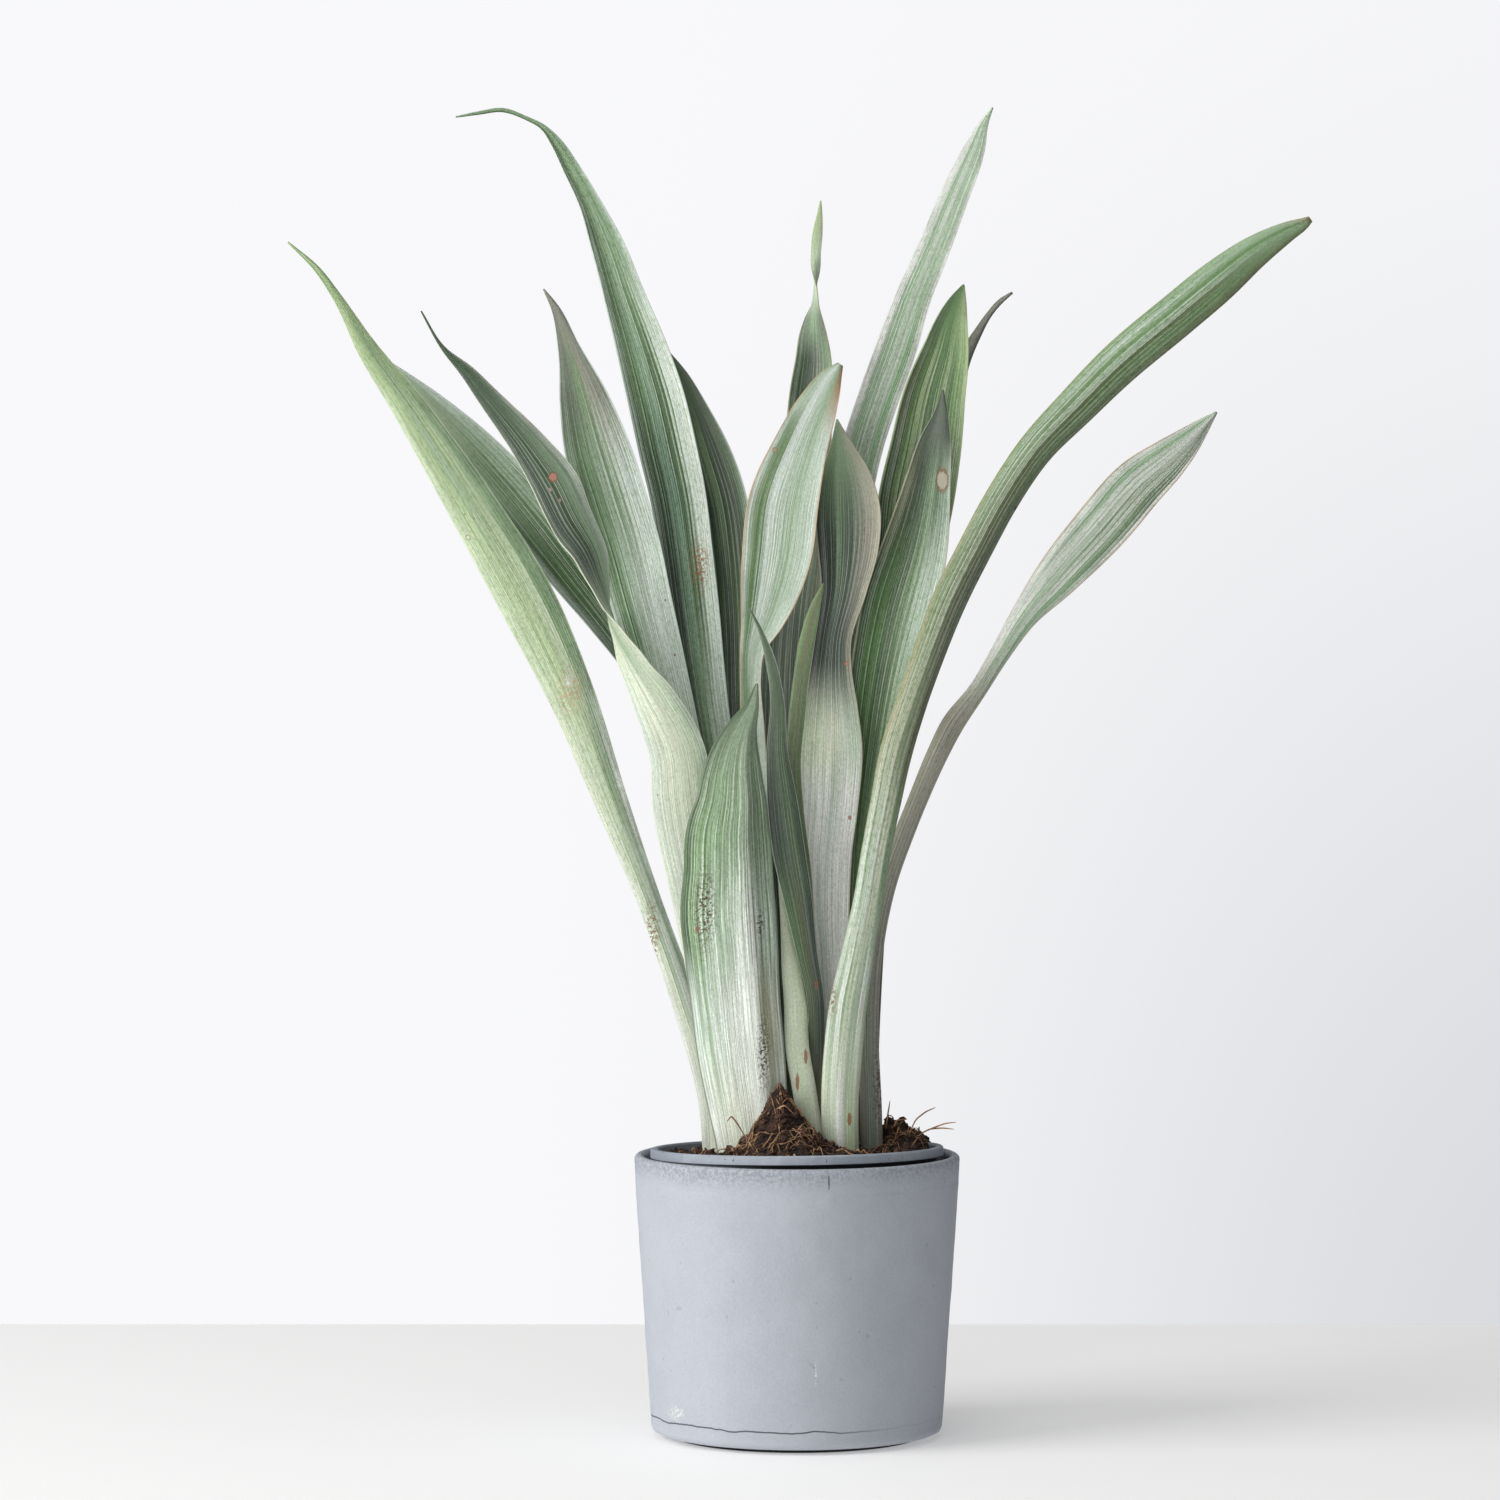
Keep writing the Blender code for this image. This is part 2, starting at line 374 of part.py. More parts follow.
def hermite(before, after, slope_before, slope_after, span, t):
    a = 2 * t ** 3 - 3 * t ** 2 + 1
    b = t ** 3 - 2 * t ** 2 + t
    return a * before + b * span * slope_before + (1 - a) * after + (t ** 3 - t ** 2) * span * slope_after


def station_slopes(rows, knots):
    """Slope of every column at every station, from the stations on its two sides."""
    last = len(rows) - 1
    slopes = []
    for i in range(last + 1):
        low, high = max(i - 1, 0), min(i + 1, last)
        if low == i or high == i:
            slopes.append([(b - a) / (knots[high] - knots[low]) for a, b in zip(rows[low], rows[high])])
            continue
        back, ahead = knots[i] - knots[low], knots[high] - knots[i]
        slopes.append([
            (back * back * c - ahead * ahead * a + (ahead * ahead - back * back) * b)
            / (back * ahead * (back + ahead))
            for a, b, c in zip(rows[low], rows[i], rows[high])])
    return slopes


def leaf_rows(stations, count):
    """Rows of place, width, turn and cup, evenly along a smooth curve through the stations."""
    rows = [(x * CM, y * CM, z * CM, w * CM, radians(t), radians(c)) for x, y, z, w, t, c in stations]
    knots = [0.0]
    for a, b in zip(rows, rows[1:]):
        knots.append(knots[-1] + (Vector(b[:3]) - Vector(a[:3])).length)
    slopes = station_slopes(rows, knots)
    out = []
    i = 0
    for step in range(count + 1):
        at = knots[-1] * step / count
        while i < len(knots) - 2 and at > knots[i + 1]:
            i += 1
        span = knots[i + 1] - knots[i]
        t = (at - knots[i]) / span
        out.append([
            hermite(rows[i][k], rows[i + 1][k], slopes[i][k], slopes[i + 1][k], span, t)
            for k in range(6)])
    return out


def leaf_point(row, ahead, u):
    """A point of a leaf's middle sheet, u from -1 at its left edge to 1 at its right."""
    x, y, z, width, turn, cup = row
    flat = Vector((ahead.z, 0.0, -ahead.x)).normalized()
    front = flat.cross(ahead)
    side = cos(turn) * flat + sin(turn) * front
    face = cos(turn) * front - sin(turn) * flat
    bend = cup if abs(cup) > 0.01 else 0.01
    half = max(width, NARROWEST) / 2
    across = half * sin(bend * u) / sin(bend)
    lift = half * (1 - cos(bend * u)) / sin(bend)
    return Vector((x, y, z)) + side * across + face * lift


def leaf_sheet(name, rows, grow, group, finish=None):
    """The leaf as an open grid with Solidify, thick in the middle and thin at its edges."""
    count = len(rows) - 1
    work = bmesh.new()
    bmesh.ops.create_grid(work, x_segments=LEAF_ACROSS, y_segments=count, size=1.0)
    mesh = bpy.data.meshes.new(name)
    work.to_mesh(mesh)
    work.free()
    made = new_object(name, mesh, group, finish)
    share = made.vertex_groups.new(name="thickness")
    thick = LEAF_THICK + 2 * grow
    for vertex in mesh.vertices:
        u = vertex.co.x
        i = round((vertex.co.y + 1) / 2 * count)
        low, high = rows[max(i - 1, 0)], rows[min(i + 1, count)]
        ahead = (Vector(high[:3]) - Vector(low[:3])).normalized()
        row = list(rows[i])
        row[3] = max(row[3], NARROWEST) + 2 * grow
        vertex.co = leaf_point(row, ahead, u)
        full = LEAF_TIP + (1 - LEAF_TIP) * min(1.0, rows[i][3] / LEAF_FULL)
        part = (LEAF_MARGIN + (1 - LEAF_MARGIN) * (1 - u * u)) * full * LEAF_THICK + 2 * grow
        share.add([vertex.index], part / thick, "REPLACE")
    solidify = made.modifiers.new("thickness", "SOLIDIFY")
    solidify.thickness = thick
    solidify.offset = 0.0
    solidify.vertex_group = "thickness"
    mesh.shade_smooth()
    return made


def leaf_length(stations):
    places = [Vector(s[:3]) * CM for s in stations]
    return sum((b - a).length for a, b in zip(places, places[1:]))


def leaf(name, group, finish):
    stations = LEAVES[name]
    count = max(12, round(leaf_length(stations) / LEAF_STEP))
    return leaf_sheet(name, leaf_rows(stations, count), 0.0, group, finish)


def socket_cutter(name, cutters):
    """The foot of a leaf, grown, that cuts its socket in the soil."""
    stations = LEAVES[name]
    count = max(12, round(leaf_length(stations) / LEAF_STEP))
    rows = leaf_rows(stations, count)
    kept = [row for row in rows if row[2] < SOCKET_TOP]
    kept.append(rows[len(kept)])
    first = list(kept[0])
    first[2] -= SOCKET_GROW
    kept[0] = first
    return as_cutter(leaf_sheet("socket_" + name, kept, SOCKET_GROW / 2, cutters))


def main():
    clear_scene()
    parts = collection("potted_snake_plant")
    cutters = collection("cutters")
    outer_pot(parts, material("concrete", COLOURS["pot"], 0.85))
    foot_pad(parts, material("rubber", COLOURS["foot"], 0.9))
    nursery_pot(parts, cutters, material("nursery_plastic", COLOURS["nursery"], 0.5))
    soil(parts, cutters, material("soil", COLOURS["soil"], 0.95))
    for name in LEAVES:
        leaf(name, parts, material(name, COLOURS["leaf"], 0.45))


main()
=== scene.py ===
"""The looks of a potted snake plant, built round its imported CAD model.

Metres, +Z up, the front of the plant towards -Y. The leaf stations and the places of marks are in
centimetres. A leaf's colours are given as bands: at a height, the colours from its left edge (0)
to its right edge (1). In between, one band turns smoothly into the next.
"""

from math import cos, pi, radians, sin

import bmesh
import bpy
import numpy as np
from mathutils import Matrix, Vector, noise

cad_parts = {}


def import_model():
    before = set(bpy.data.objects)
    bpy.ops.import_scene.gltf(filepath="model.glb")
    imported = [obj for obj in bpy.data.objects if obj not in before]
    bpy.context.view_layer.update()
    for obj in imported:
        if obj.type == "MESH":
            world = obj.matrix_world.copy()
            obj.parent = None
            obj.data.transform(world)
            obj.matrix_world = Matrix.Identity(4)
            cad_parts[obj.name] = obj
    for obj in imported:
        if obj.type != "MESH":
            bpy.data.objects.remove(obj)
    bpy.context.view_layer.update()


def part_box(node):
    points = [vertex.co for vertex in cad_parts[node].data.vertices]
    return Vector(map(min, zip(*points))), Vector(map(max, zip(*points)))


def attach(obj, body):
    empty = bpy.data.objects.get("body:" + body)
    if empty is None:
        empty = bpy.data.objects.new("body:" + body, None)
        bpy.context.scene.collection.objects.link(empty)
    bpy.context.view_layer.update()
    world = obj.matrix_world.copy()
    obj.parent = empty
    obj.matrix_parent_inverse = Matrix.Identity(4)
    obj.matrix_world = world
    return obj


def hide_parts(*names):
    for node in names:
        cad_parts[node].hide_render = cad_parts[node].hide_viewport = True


CM = 0.01

# Leaf meshes
LEAF_STEP = 0.0028        # length of leaf for each ring of vertices
LEAF_ACROSS = 26          # faces across one side of a leaf
LEAF_THICK = 0.0023
LEAF_MARGIN = 0.22        # share of the thickness left at the edges
LEAF_TIP = 0.42           # share left where the leaf is narrow
LEAF_FULL = 1.2           # width in centimetres from which a leaf has its full thickness
NARROWEST = 0.06
RIPPLE = 0.0005           # how far the edges of a leaf wave

# Stations along each leaf, from its foot: x, y, z and width in centimetres, then in degrees how far
# its sides are bent to the front and how far it is turned about its length. Zeros are left out.
LEAVES = {
    "leaf_far_left": [
        (-3.7, 1.3, 12.6, 1.5, -15), (-3.9, 1.3, 15.5, 1.5, -15), (-5.4, 1.4, 20.7, 1.25, -15),
        (-7.1, 1.6, 25.5, 1.15, -12), (-8.9, 1.8, 30.2, 1.6, -12), (-10.7, 2, 35, 2.2, -12),
        (-12.9, 2, 39.7, 2.7, -12), (-15.7, 2, 44.5, 2.3, -12), (-18.8, 2, 49.3, 1.5, -12),
        (-20.5, 2.1, 51.7, 1, -12), (-21.9, 2.2, 54.1, 0.45, -10), (-22.9, 2.3, 55.5, 0.3),
        (-24.3, 2.5, 56.8, 0.08)],
    "leaf_left_back": [
        (-2.4, 2.6, 12.6, 1.8, 15), (-2.5, 2.7, 15.5, 1.8, 15), (-2.9, 3, 21.7, 1.7, 15),
        (-3.9, 3.4, 27.9, 1.6, 15), (-5.2, 3.7, 32.6, 1.5, 15), (-7.3, 3.9, 36.3, 1.6, 18),
        (-9.2, 4, 39, 2, 20), (-10.9, 4.1, 41.3, 2.45, 20), (-12.9, 4.1, 43.9, 2.65, 20),
        (-15.3, 4.1, 46.7, 2.2, 18), (-17.7, 4.1, 49.2, 1.3, 15), (-19.8, 4.2, 51.3, 0.1)],
    "leaf_left_twisted": [
        (-3.1, -0.9, 12.6, 1.9, -15), (-3.2, -0.9, 15.5, 1.9, -15), (-4, -1, 21.7, 2.3, -15),
        (-4.6, -1.1, 25.5, 2.6, -15), (-5.4, -1.2, 30.2, 2.9, -12), (-5.7, -1.2, 32.6, 2.65, -10),
        (-6.8, -1.3, 35, 2.2, -8, 18), (-7.7, -1.3, 36.6, 2, 0, 48), (-8.75, -1.3, 38.7, 1.9, 0, 80),
        (-9.25, -1.4, 40.4, 2, 5, 118), (-9.8, -1.5, 42.1, 2.1, 12, 140),
        (-10.6, -1.6, 43.5, 2.2, 15, 160), (-11.4, -1.7, 45.2, 2.2, 15, 175),
        (-12.5, -1.8, 46.8, 1.75, 15, 180), (-14.5, -1.8, 49.2, 1.05, 10, 180),
        (-15.5, -1.8, 50.4, 0.7, 5, 180), (-16.7, -1.8, 51.6, 0.22, 0, 180),
        (-17.7, -1.8, 53.3, 0.08, 0, 180)],
    "leaf_tall_arched": [
        (-2.2, 0.7, 12.6, 2, 25), (-2.3, 0.8, 15.5, 2, 25), (-3.3, 1.1, 26.4, 2, 30),
        (-3.9, 1.3, 31.7, 2.05, 35), (-4.4, 1.5, 35, 2.2, 38), (-5, 1.8, 39.7, 2.5, 42),
        (-5.3, 1.9, 42.1, 2.55, 45), (-5.65, 2.1, 44.6, 2.65, 48), (-6.15, 2.2, 46.9, 2.75, 48),
        (-6.7, 2.3, 49.3, 2.7, 45), (-7.4, 2.5, 51.7, 2.4, 40), (-8.2, 2.7, 54.1, 1.95, 35),
        (-9, 2.9, 56.5, 1.6, 30), (-10, 3.1, 58.9, 1, 25), (-10.8, 3.2, 60.4, 0.8, 15),
        (-11.5, 3.2, 61.6, 0.55, 5), (-12.15, 3.2, 62.35, 0.28), (-12.9, 3.2, 62.75, 0.2),
        (-14.1, 3.1, 63.15, 0.22), (-15.2, 3, 63, 0.18), (-16.3, 2.9, 62.8, 0.08)],
    "leaf_left_inner": [
        (-2.7, -0.1, 12.6, 2, 15), (-2.8, -0.1, 15.5, 2, 15), (-3.6, 0, 23.1, 2, 15),
        (-4.4, 0.2, 27.9, 2.1, 15), (-5.4, 0.3, 31.7, 2.3, 18), (-6.2, 0.4, 35, 2.5, 20),
        (-6.8, 0.5, 37.4, 2.7, 22), (-7.4, 0.6, 39.7, 2.9, 25), (-8, 0.7, 42.1, 3.1, 25),
        (-8.75, 0.8, 44.5, 3.2, 25), (-9.5, 0.9, 46.9, 3.1, 25), (-10.15, 1, 49.3, 2.3, 25),
        (-10.85, 1.1, 51.7, 1.05, 15), (-11.5, 1.2, 53.6, 0.4), (-12.05, 1.2, 54.5, 0.08)],
    "leaf_centre_dark": [
        (-1.8, 1.8, 12.6, 1.9, 25), (-1.9, 1.9, 15.5, 1.9, 25), (-2.3, 2.3, 23.1, 2, 28),
        (-2.75, 2.7, 30.2, 2.2, 30), (-2.95, 2.9, 35, 2.3, 32), (-3.05, 3.1, 38.8, 2.4, 35),
        (-3.25, 3.2, 41.6, 2.5, 35), (-3.65, 3.3, 44.5, 2.5, 35), (-4.35, 3.5, 46.9, 2.2, 30),
        (-4.95, 3.6, 48.8, 1.45, 20), (-5.5, 3.7, 50.4, 0.7, 10), (-6.2, 3.8, 51.7, 0.08)],
    "leaf_centre_broad": [
        (-1.3, -0.7, 12.6, 1.4, 25), (-1.35, -0.7, 15.5, 1.4, 25), (-1.7, -0.6, 23.1, 1.4, 30),
        (-1.95, -0.5, 30.2, 1.3, 35), (-2.1, -0.4, 33.8, 1.1, 35), (-2.2, -0.4, 36, 1, 35),
        (-2.1, -0.4, 37.4, 1.2, 35), (-1.65, -0.4, 38.8, 2.1, 30), (-1.35, -0.4, 39.9, 2.7, 26),
        (-1, -0.4, 41.6, 3.25, 22), (-0.6, -0.4, 44.5, 3.3, 22), (0.15, -0.5, 46.9, 2.6, 20),
        (1.1, -0.6, 49.2, 1.75, 15), (1.6, -0.6, 50.2, 1.1, 10), (2.05, -0.6, 50.85, 0.3)],
    "leaf_centre_spire": [
        (0.1, 0.5, 12.6, 1.7, 20), (0.1, 0.6, 15.5, 1.8, 20), (-0.1, 1.1, 25.5, 2.6, 22),
        (-0.45, 1.6, 33.1, 3.1, 25), (-0.2, 1.9, 38.8, 3, 25), (0.45, 2.1, 43.5, 2.3, 28),
        (0.55, 2.3, 47.3, 2.2, 30), (0.7, 2.4, 49.8, 2, 32), (0.8, 2.5, 51.2, 1.7, 35),
        (0.8, 2.5, 52.2, 1.4, 30, 5), (0.85, 2.6, 53.1, 1, 20, 30), (0.9, 2.6, 53.8, 0.7, 5, 62),
        (0.9, 2.6, 54.5, 0.55, 0, 75), (0.92, 2.7, 55.3, 0.5, 0, 130), (0.92, 2.7, 56.2, 0.48, 0, 180),
        (1, 2.8, 57.2, 0.48, 0, 180), (1.1, 2.8, 58.1, 0.28, 0, 180), (1.15, 2.8, 58.8, 0.07, 0, 180)],
    "leaf_right_inner": [
        (1.7, -0.7, 12.6, 1.6, 20), (1.7, -0.7, 15.5, 1.6, 20), (1.55, -0.6, 19.3, 1.75, 20),
        (1.4, -0.5, 22.6, 2.1, 18), (1.25, -0.4, 25.5, 2.5, 15), (1.3, -0.3, 27.9, 2.65, 15),
        (1.5, -0.2, 30.2, 2.85, 15), (1.6, -0.1, 32.6, 3, 15), (1.6, 0.1, 34.5, 2.6, 18),
        (1.6, 0.2, 36.4, 2, 22), (1.7, 0.3, 37.8, 1.75, 28), (2.2, 0.4, 40.2, 2.2, 28),
        (2.4, 0.5, 42.1, 2.9, 28), (2.4, 0.6, 44, 3.1, 26), (2.25, 0.7, 45.9, 2.2, 22),
        (2.1, 0.7, 47.1, 1.05, 10), (1.9, 0.8, 48.3, 0.08)],
    "leaf_tall_right": [
        (1.6, 1.9, 12.6, 1.6, 15), (1.7, 2, 15.5, 1.6, 15), (1.9, 2.7, 27.9, 1.6, 15),
        (2, 3.1, 35.9, 1.7, 15), (2.25, 3.4, 41.2, 1.8, 12), (2.65, 3.6, 44.5, 1.9, 12),
        (3.25, 3.8, 47.3, 1.95, 12), (3.9, 3.9, 49.3, 1.95, 12), (4.8, 4.1, 51.8, 1.95, 12),
        (5.6, 4.2, 54.2, 1.7, 12), (6.6, 4.3, 56.6, 1.55, 12), (7.55, 4.4, 59, 1.4, 12),
        (8.6, 4.5, 61.5, 1, 10), (9, 4.6, 62.6, 0.5, 5), (9.45, 4.6, 63.4, 0.08)],
    "leaf_right_broad": [
        (2.6, 1, 12.6, 1.7, 20), (2.6, 1.1, 15.5, 1.7, 20), (3, 1.4, 23.1, 1.8, 20),
        (3.5, 1.7, 30.2, 2, 22), (4.1, 2, 35, 2.3, 25), (4.8, 2.2, 38.8, 2.8, 27),
        (5.35, 2.3, 42.1, 3.3, 28), (5.7, 2.5, 44.5, 3.6, 28), (6.15, 2.6, 46.9, 3.4, 28),
        (6.55, 2.7, 49.3, 3, 26), (7.15, 2.8, 51.7, 2.2, 22), (7.4, 2.8, 52.9, 1.6, 18),
        (7.75, 2.9, 54.1, 0.8, 10), (8, 2.9, 54.8, 0.1)],
    "leaf_thin_tip": [
        (3, 2.5, 12.6, 1.5, 20), (3.1, 2.6, 15.5, 1.5, 20), (3.4, 3, 23.1, 1.6, 22),
        (4, 3.4, 30.2, 1.6, 25), (4.7, 3.7, 35.9, 1.6, 25), (5.55, 4, 40.7, 1.6, 25),
        (6.3, 4.2, 44.5, 1.5, 25), (6.9, 4.3, 47.4, 1.4, 25), (7.5, 4.4, 49.9, 1.1, 20),
        (8.1, 4.5, 51.4, 0.7, 10), (8.7, 4.5, 52.5, 0.45), (9.25, 4.5, 53.4, 0.3),
        (9.85, 4.5, 54.1, 0.26), (10.4, 4.5, 54.5, 0.12)],
    "leaf_right_front": [
        (2.5, 0.1, 12.6, 1.6, 20), (2.5, 0.1, 15.5, 1.6, 20), (2.85, 0.3, 24.1, 1.8, 22),
        (3.1, 0.4, 28.8, 2.1, 25), (3.5, 0.6, 32.1, 2.6, 28), (3.9, 0.7, 35, 3, 30),
        (4.35, 0.8, 37.4, 3.3, 30), (4.9, 0.9, 39.7, 3.5, 30), (5.45, 1, 41.6, 3.25, 30),
        (5.9, 1.1, 43.5, 2.75, 28), (6.25, 1.2, 45.4, 2.15, 25), (6.6, 1.3, 47.3, 1.5, 18),
        (6.85, 1.4, 48.5, 0.75, 10), (6.95, 1.4, 49.7, 0.1)],
    "leaf_right_arching": [
        (2.15, -2.9, 12.2, 1.6, -35), (2, -2.9, 16, 1.75, -40), (2.15, -2.9, 18.4, 1.8, -42),
        (2.4, -2.9, 20.7, 1.75, -45), (2.85, -2.9, 23.1, 1.5, -50), (3.3, -2.9, 25.5, 1.35, -52),
        (3.7, -2.9, 27.9, 1.35, -55), (4.15, -2.9, 30.2, 1.4, -55), (4.65, -2.8, 32.6, 1.5, -55),
        (5.4, -2.8, 35, 1.45, -55), (6.25, -2.7, 37.4, 1.5, -55), (7.15, -2.6, 39.7, 1.6, -55),
        (8.35, -2.5, 42.1, 1.6, -55), (9.65, -2.4, 44.5, 1.6, -55), (11.2, -2.3, 46.8, 1.65, -55),
        (13.1, -2.2, 48.8, 1.85, -52), (15, -2.1, 50.7, 2, -50), (17.85, -2.1, 53.1, 2.05, -45),
        (19.9, -2.1, 54.8, 1.95, -40), (21.4, -2.1, 56, 1.55, -35), (23.1, -2.1, 57.05, 0.9, -25),
        (23.8, -2.1, 57.4, 0.55, -15), (24.1, -2.1, 57.6, 0.3)],
    "leaf_right_lower": [
        (3.55, -1.5, 12.6, 1, -45), (3.5, -1.4, 15.5, 1, -50), (3.4, -1.2, 19.3, 0.9, -55),
        (3.6, -0.9, 23, 0.9, -60), (4.3, -0.5, 26.4, 0.9, -60), (5.05, -0.2, 28.5, 0.9, -60),
        (5.7, 0.1, 30.1, 0.9, -60), (6.8, 0.6, 32.6, 1, -55), (7.45, 1.2, 33.8, 1.05, -50),
        (8.55, 1.3, 35.3, 0.85, -50), (9.8, 1.5, 37.3, 0.95, -35), (10.75, 1.6, 38.8, 1.25, -20),
        (12.4, 1.8, 40.8, 2.1), (14.55, 2.1, 43.2, 2.6, 12), (16.4, 2.3, 45.3, 2.5, 15),
        (17.7, 2.4, 46.4, 2, 15), (18.8, 2.5, 47.4, 1.3, 12), (19.6, 2.6, 48.2, 0.6, 5),
        (20.1, 2.6, 48.7, 0.1)],
    "leaf_front_folded": [
        (-2, -2.9, 12.6, 3, -35), (-2.2, -3, 15, 3.6, -38), (-2.4, -3, 16.5, 3.85, -38),
        (-2.65, -3.1, 18.4, 4.1, -38), (-2.9, -3.1, 20.7, 4.2, -38), (-3.1, -3.2, 23.1, 4.4, -38),
        (-3.25, -3.2, 25, 4.5, -38), (-3.25, -3.2, 26.9, 4.2, -36), (-3.25, -3.2, 28.8, 3.95, -34),
        (-3.1, -3.2, 30.2, 3.35, -32), (-3.05, -3.1, 31.4, 2.85, -30), (-2.9, -3.1, 32.6, 2.25, -26),
        (-2.55, -3, 33.8, 1.35, -20), (-2.15, -3, 34.7, 0.7, -10), (-1.9, -3, 35.8, 0.12)],
    "leaf_young_olive": [
        (0.85, -1.5, 12.6, 0.8, -10), (0.85, -1.5, 15.5, 0.8, -10), (0.92, -1.8, 18.8, 0.75, -15),
        (0.82, -2.4, 21.2, 0.8, -20), (0.45, -2.7, 23.1, 0.95, -22), (0.05, -2.8, 25.5, 1.3, -25),
        (-0.4, -2.8, 27.9, 1.5, -25), (-0.7, -2.8, 30.2, 1.4, -25), (-0.95, -2.8, 32.6, 1, -22),
        (-0.95, -2.7, 35, 0.65, -15), (-1.3, -2.6, 37, 0.45), (-1.75, -2.5, 38.3, 0.22),
        (-2.3, -2.4, 39.4, 0.07)],
    "leaf_sheath": [
        (0.9, -2.5, 12.6, 1.1, -30), (0.65, -2.5, 14.5, 1.1, -30), (0.35, -2.4, 16.5, 1.1, -30),
        (0, -2.2, 18.6, 1.1, -25), (-0.1, -2.1, 20.7, 1.05, -20), (-0.35, -2, 22.6, 0.8, -15),
        (-0.6, -2, 24.5, 0.4, -10), (-0.9, -2, 27, 0.08)],
    "leaf_young_narrow": [
        (0.4, -1, 12.6, 0.7), (0.45, -1.1, 15.5, 0.7), (0.5, -1.3, 19.3, 0.7),
        (0.5, -1.5, 23.1, 0.7, -5), (0.3, -1.6, 26.9, 0.7, -8), (-0.05, -1.7, 29.8, 0.7, -10),
        (-0.2, -1.7, 32.1, 0.72, -10), (-0.05, -1.7, 34, 0.75, -10), (0.15, -1.7, 35.9, 0.72, -10),
        (0.5, -1.7, 38, 0.7, -8), (0.95, -1.6, 39.7, 0.4), (1.25, -1.6, 40.5, 0.07)],
}

# sRGB colours, 0 to 255
PALETTE = {
    "white": (232, 236, 228), "cream": (224, 230, 208), "lime": (176, 196, 148),
    "pale_lime": (206, 220, 188), "silver": (210, 221, 211), "silver_green": (188, 206, 186),
    "sage": (148, 174, 140), "green": (120, 149, 104), "vivid": (92, 131, 72),
    "spring": (126, 174, 118), "deep": (72, 98, 64), "dark": (58, 74, 60), "black_green": (44, 54, 47),
    "olive": (108, 114, 78), "olive_dark": (74, 84, 50), "khaki": (152, 156, 118),
    "beige": (186, 182, 162), "mauve": (152, 147, 137), "grey_green": (112, 124, 106),
    "teal": (134, 168, 142), "brown": (128, 92, 66), "rust": (158, 104, 66), "pink": (186, 132, 116),
    "tan": (190, 164, 128), "bark": (70, 46, 32), "chalk": (240, 240, 236), "soot": (40, 42, 46),
    "soil_dark": (30, 20, 16), "soil_brown": (62, 41, 30), "soil_red": (86, 58, 44),
    "soil_tan": (188, 156, 116), "soil_root": (146, 104, 78),
}

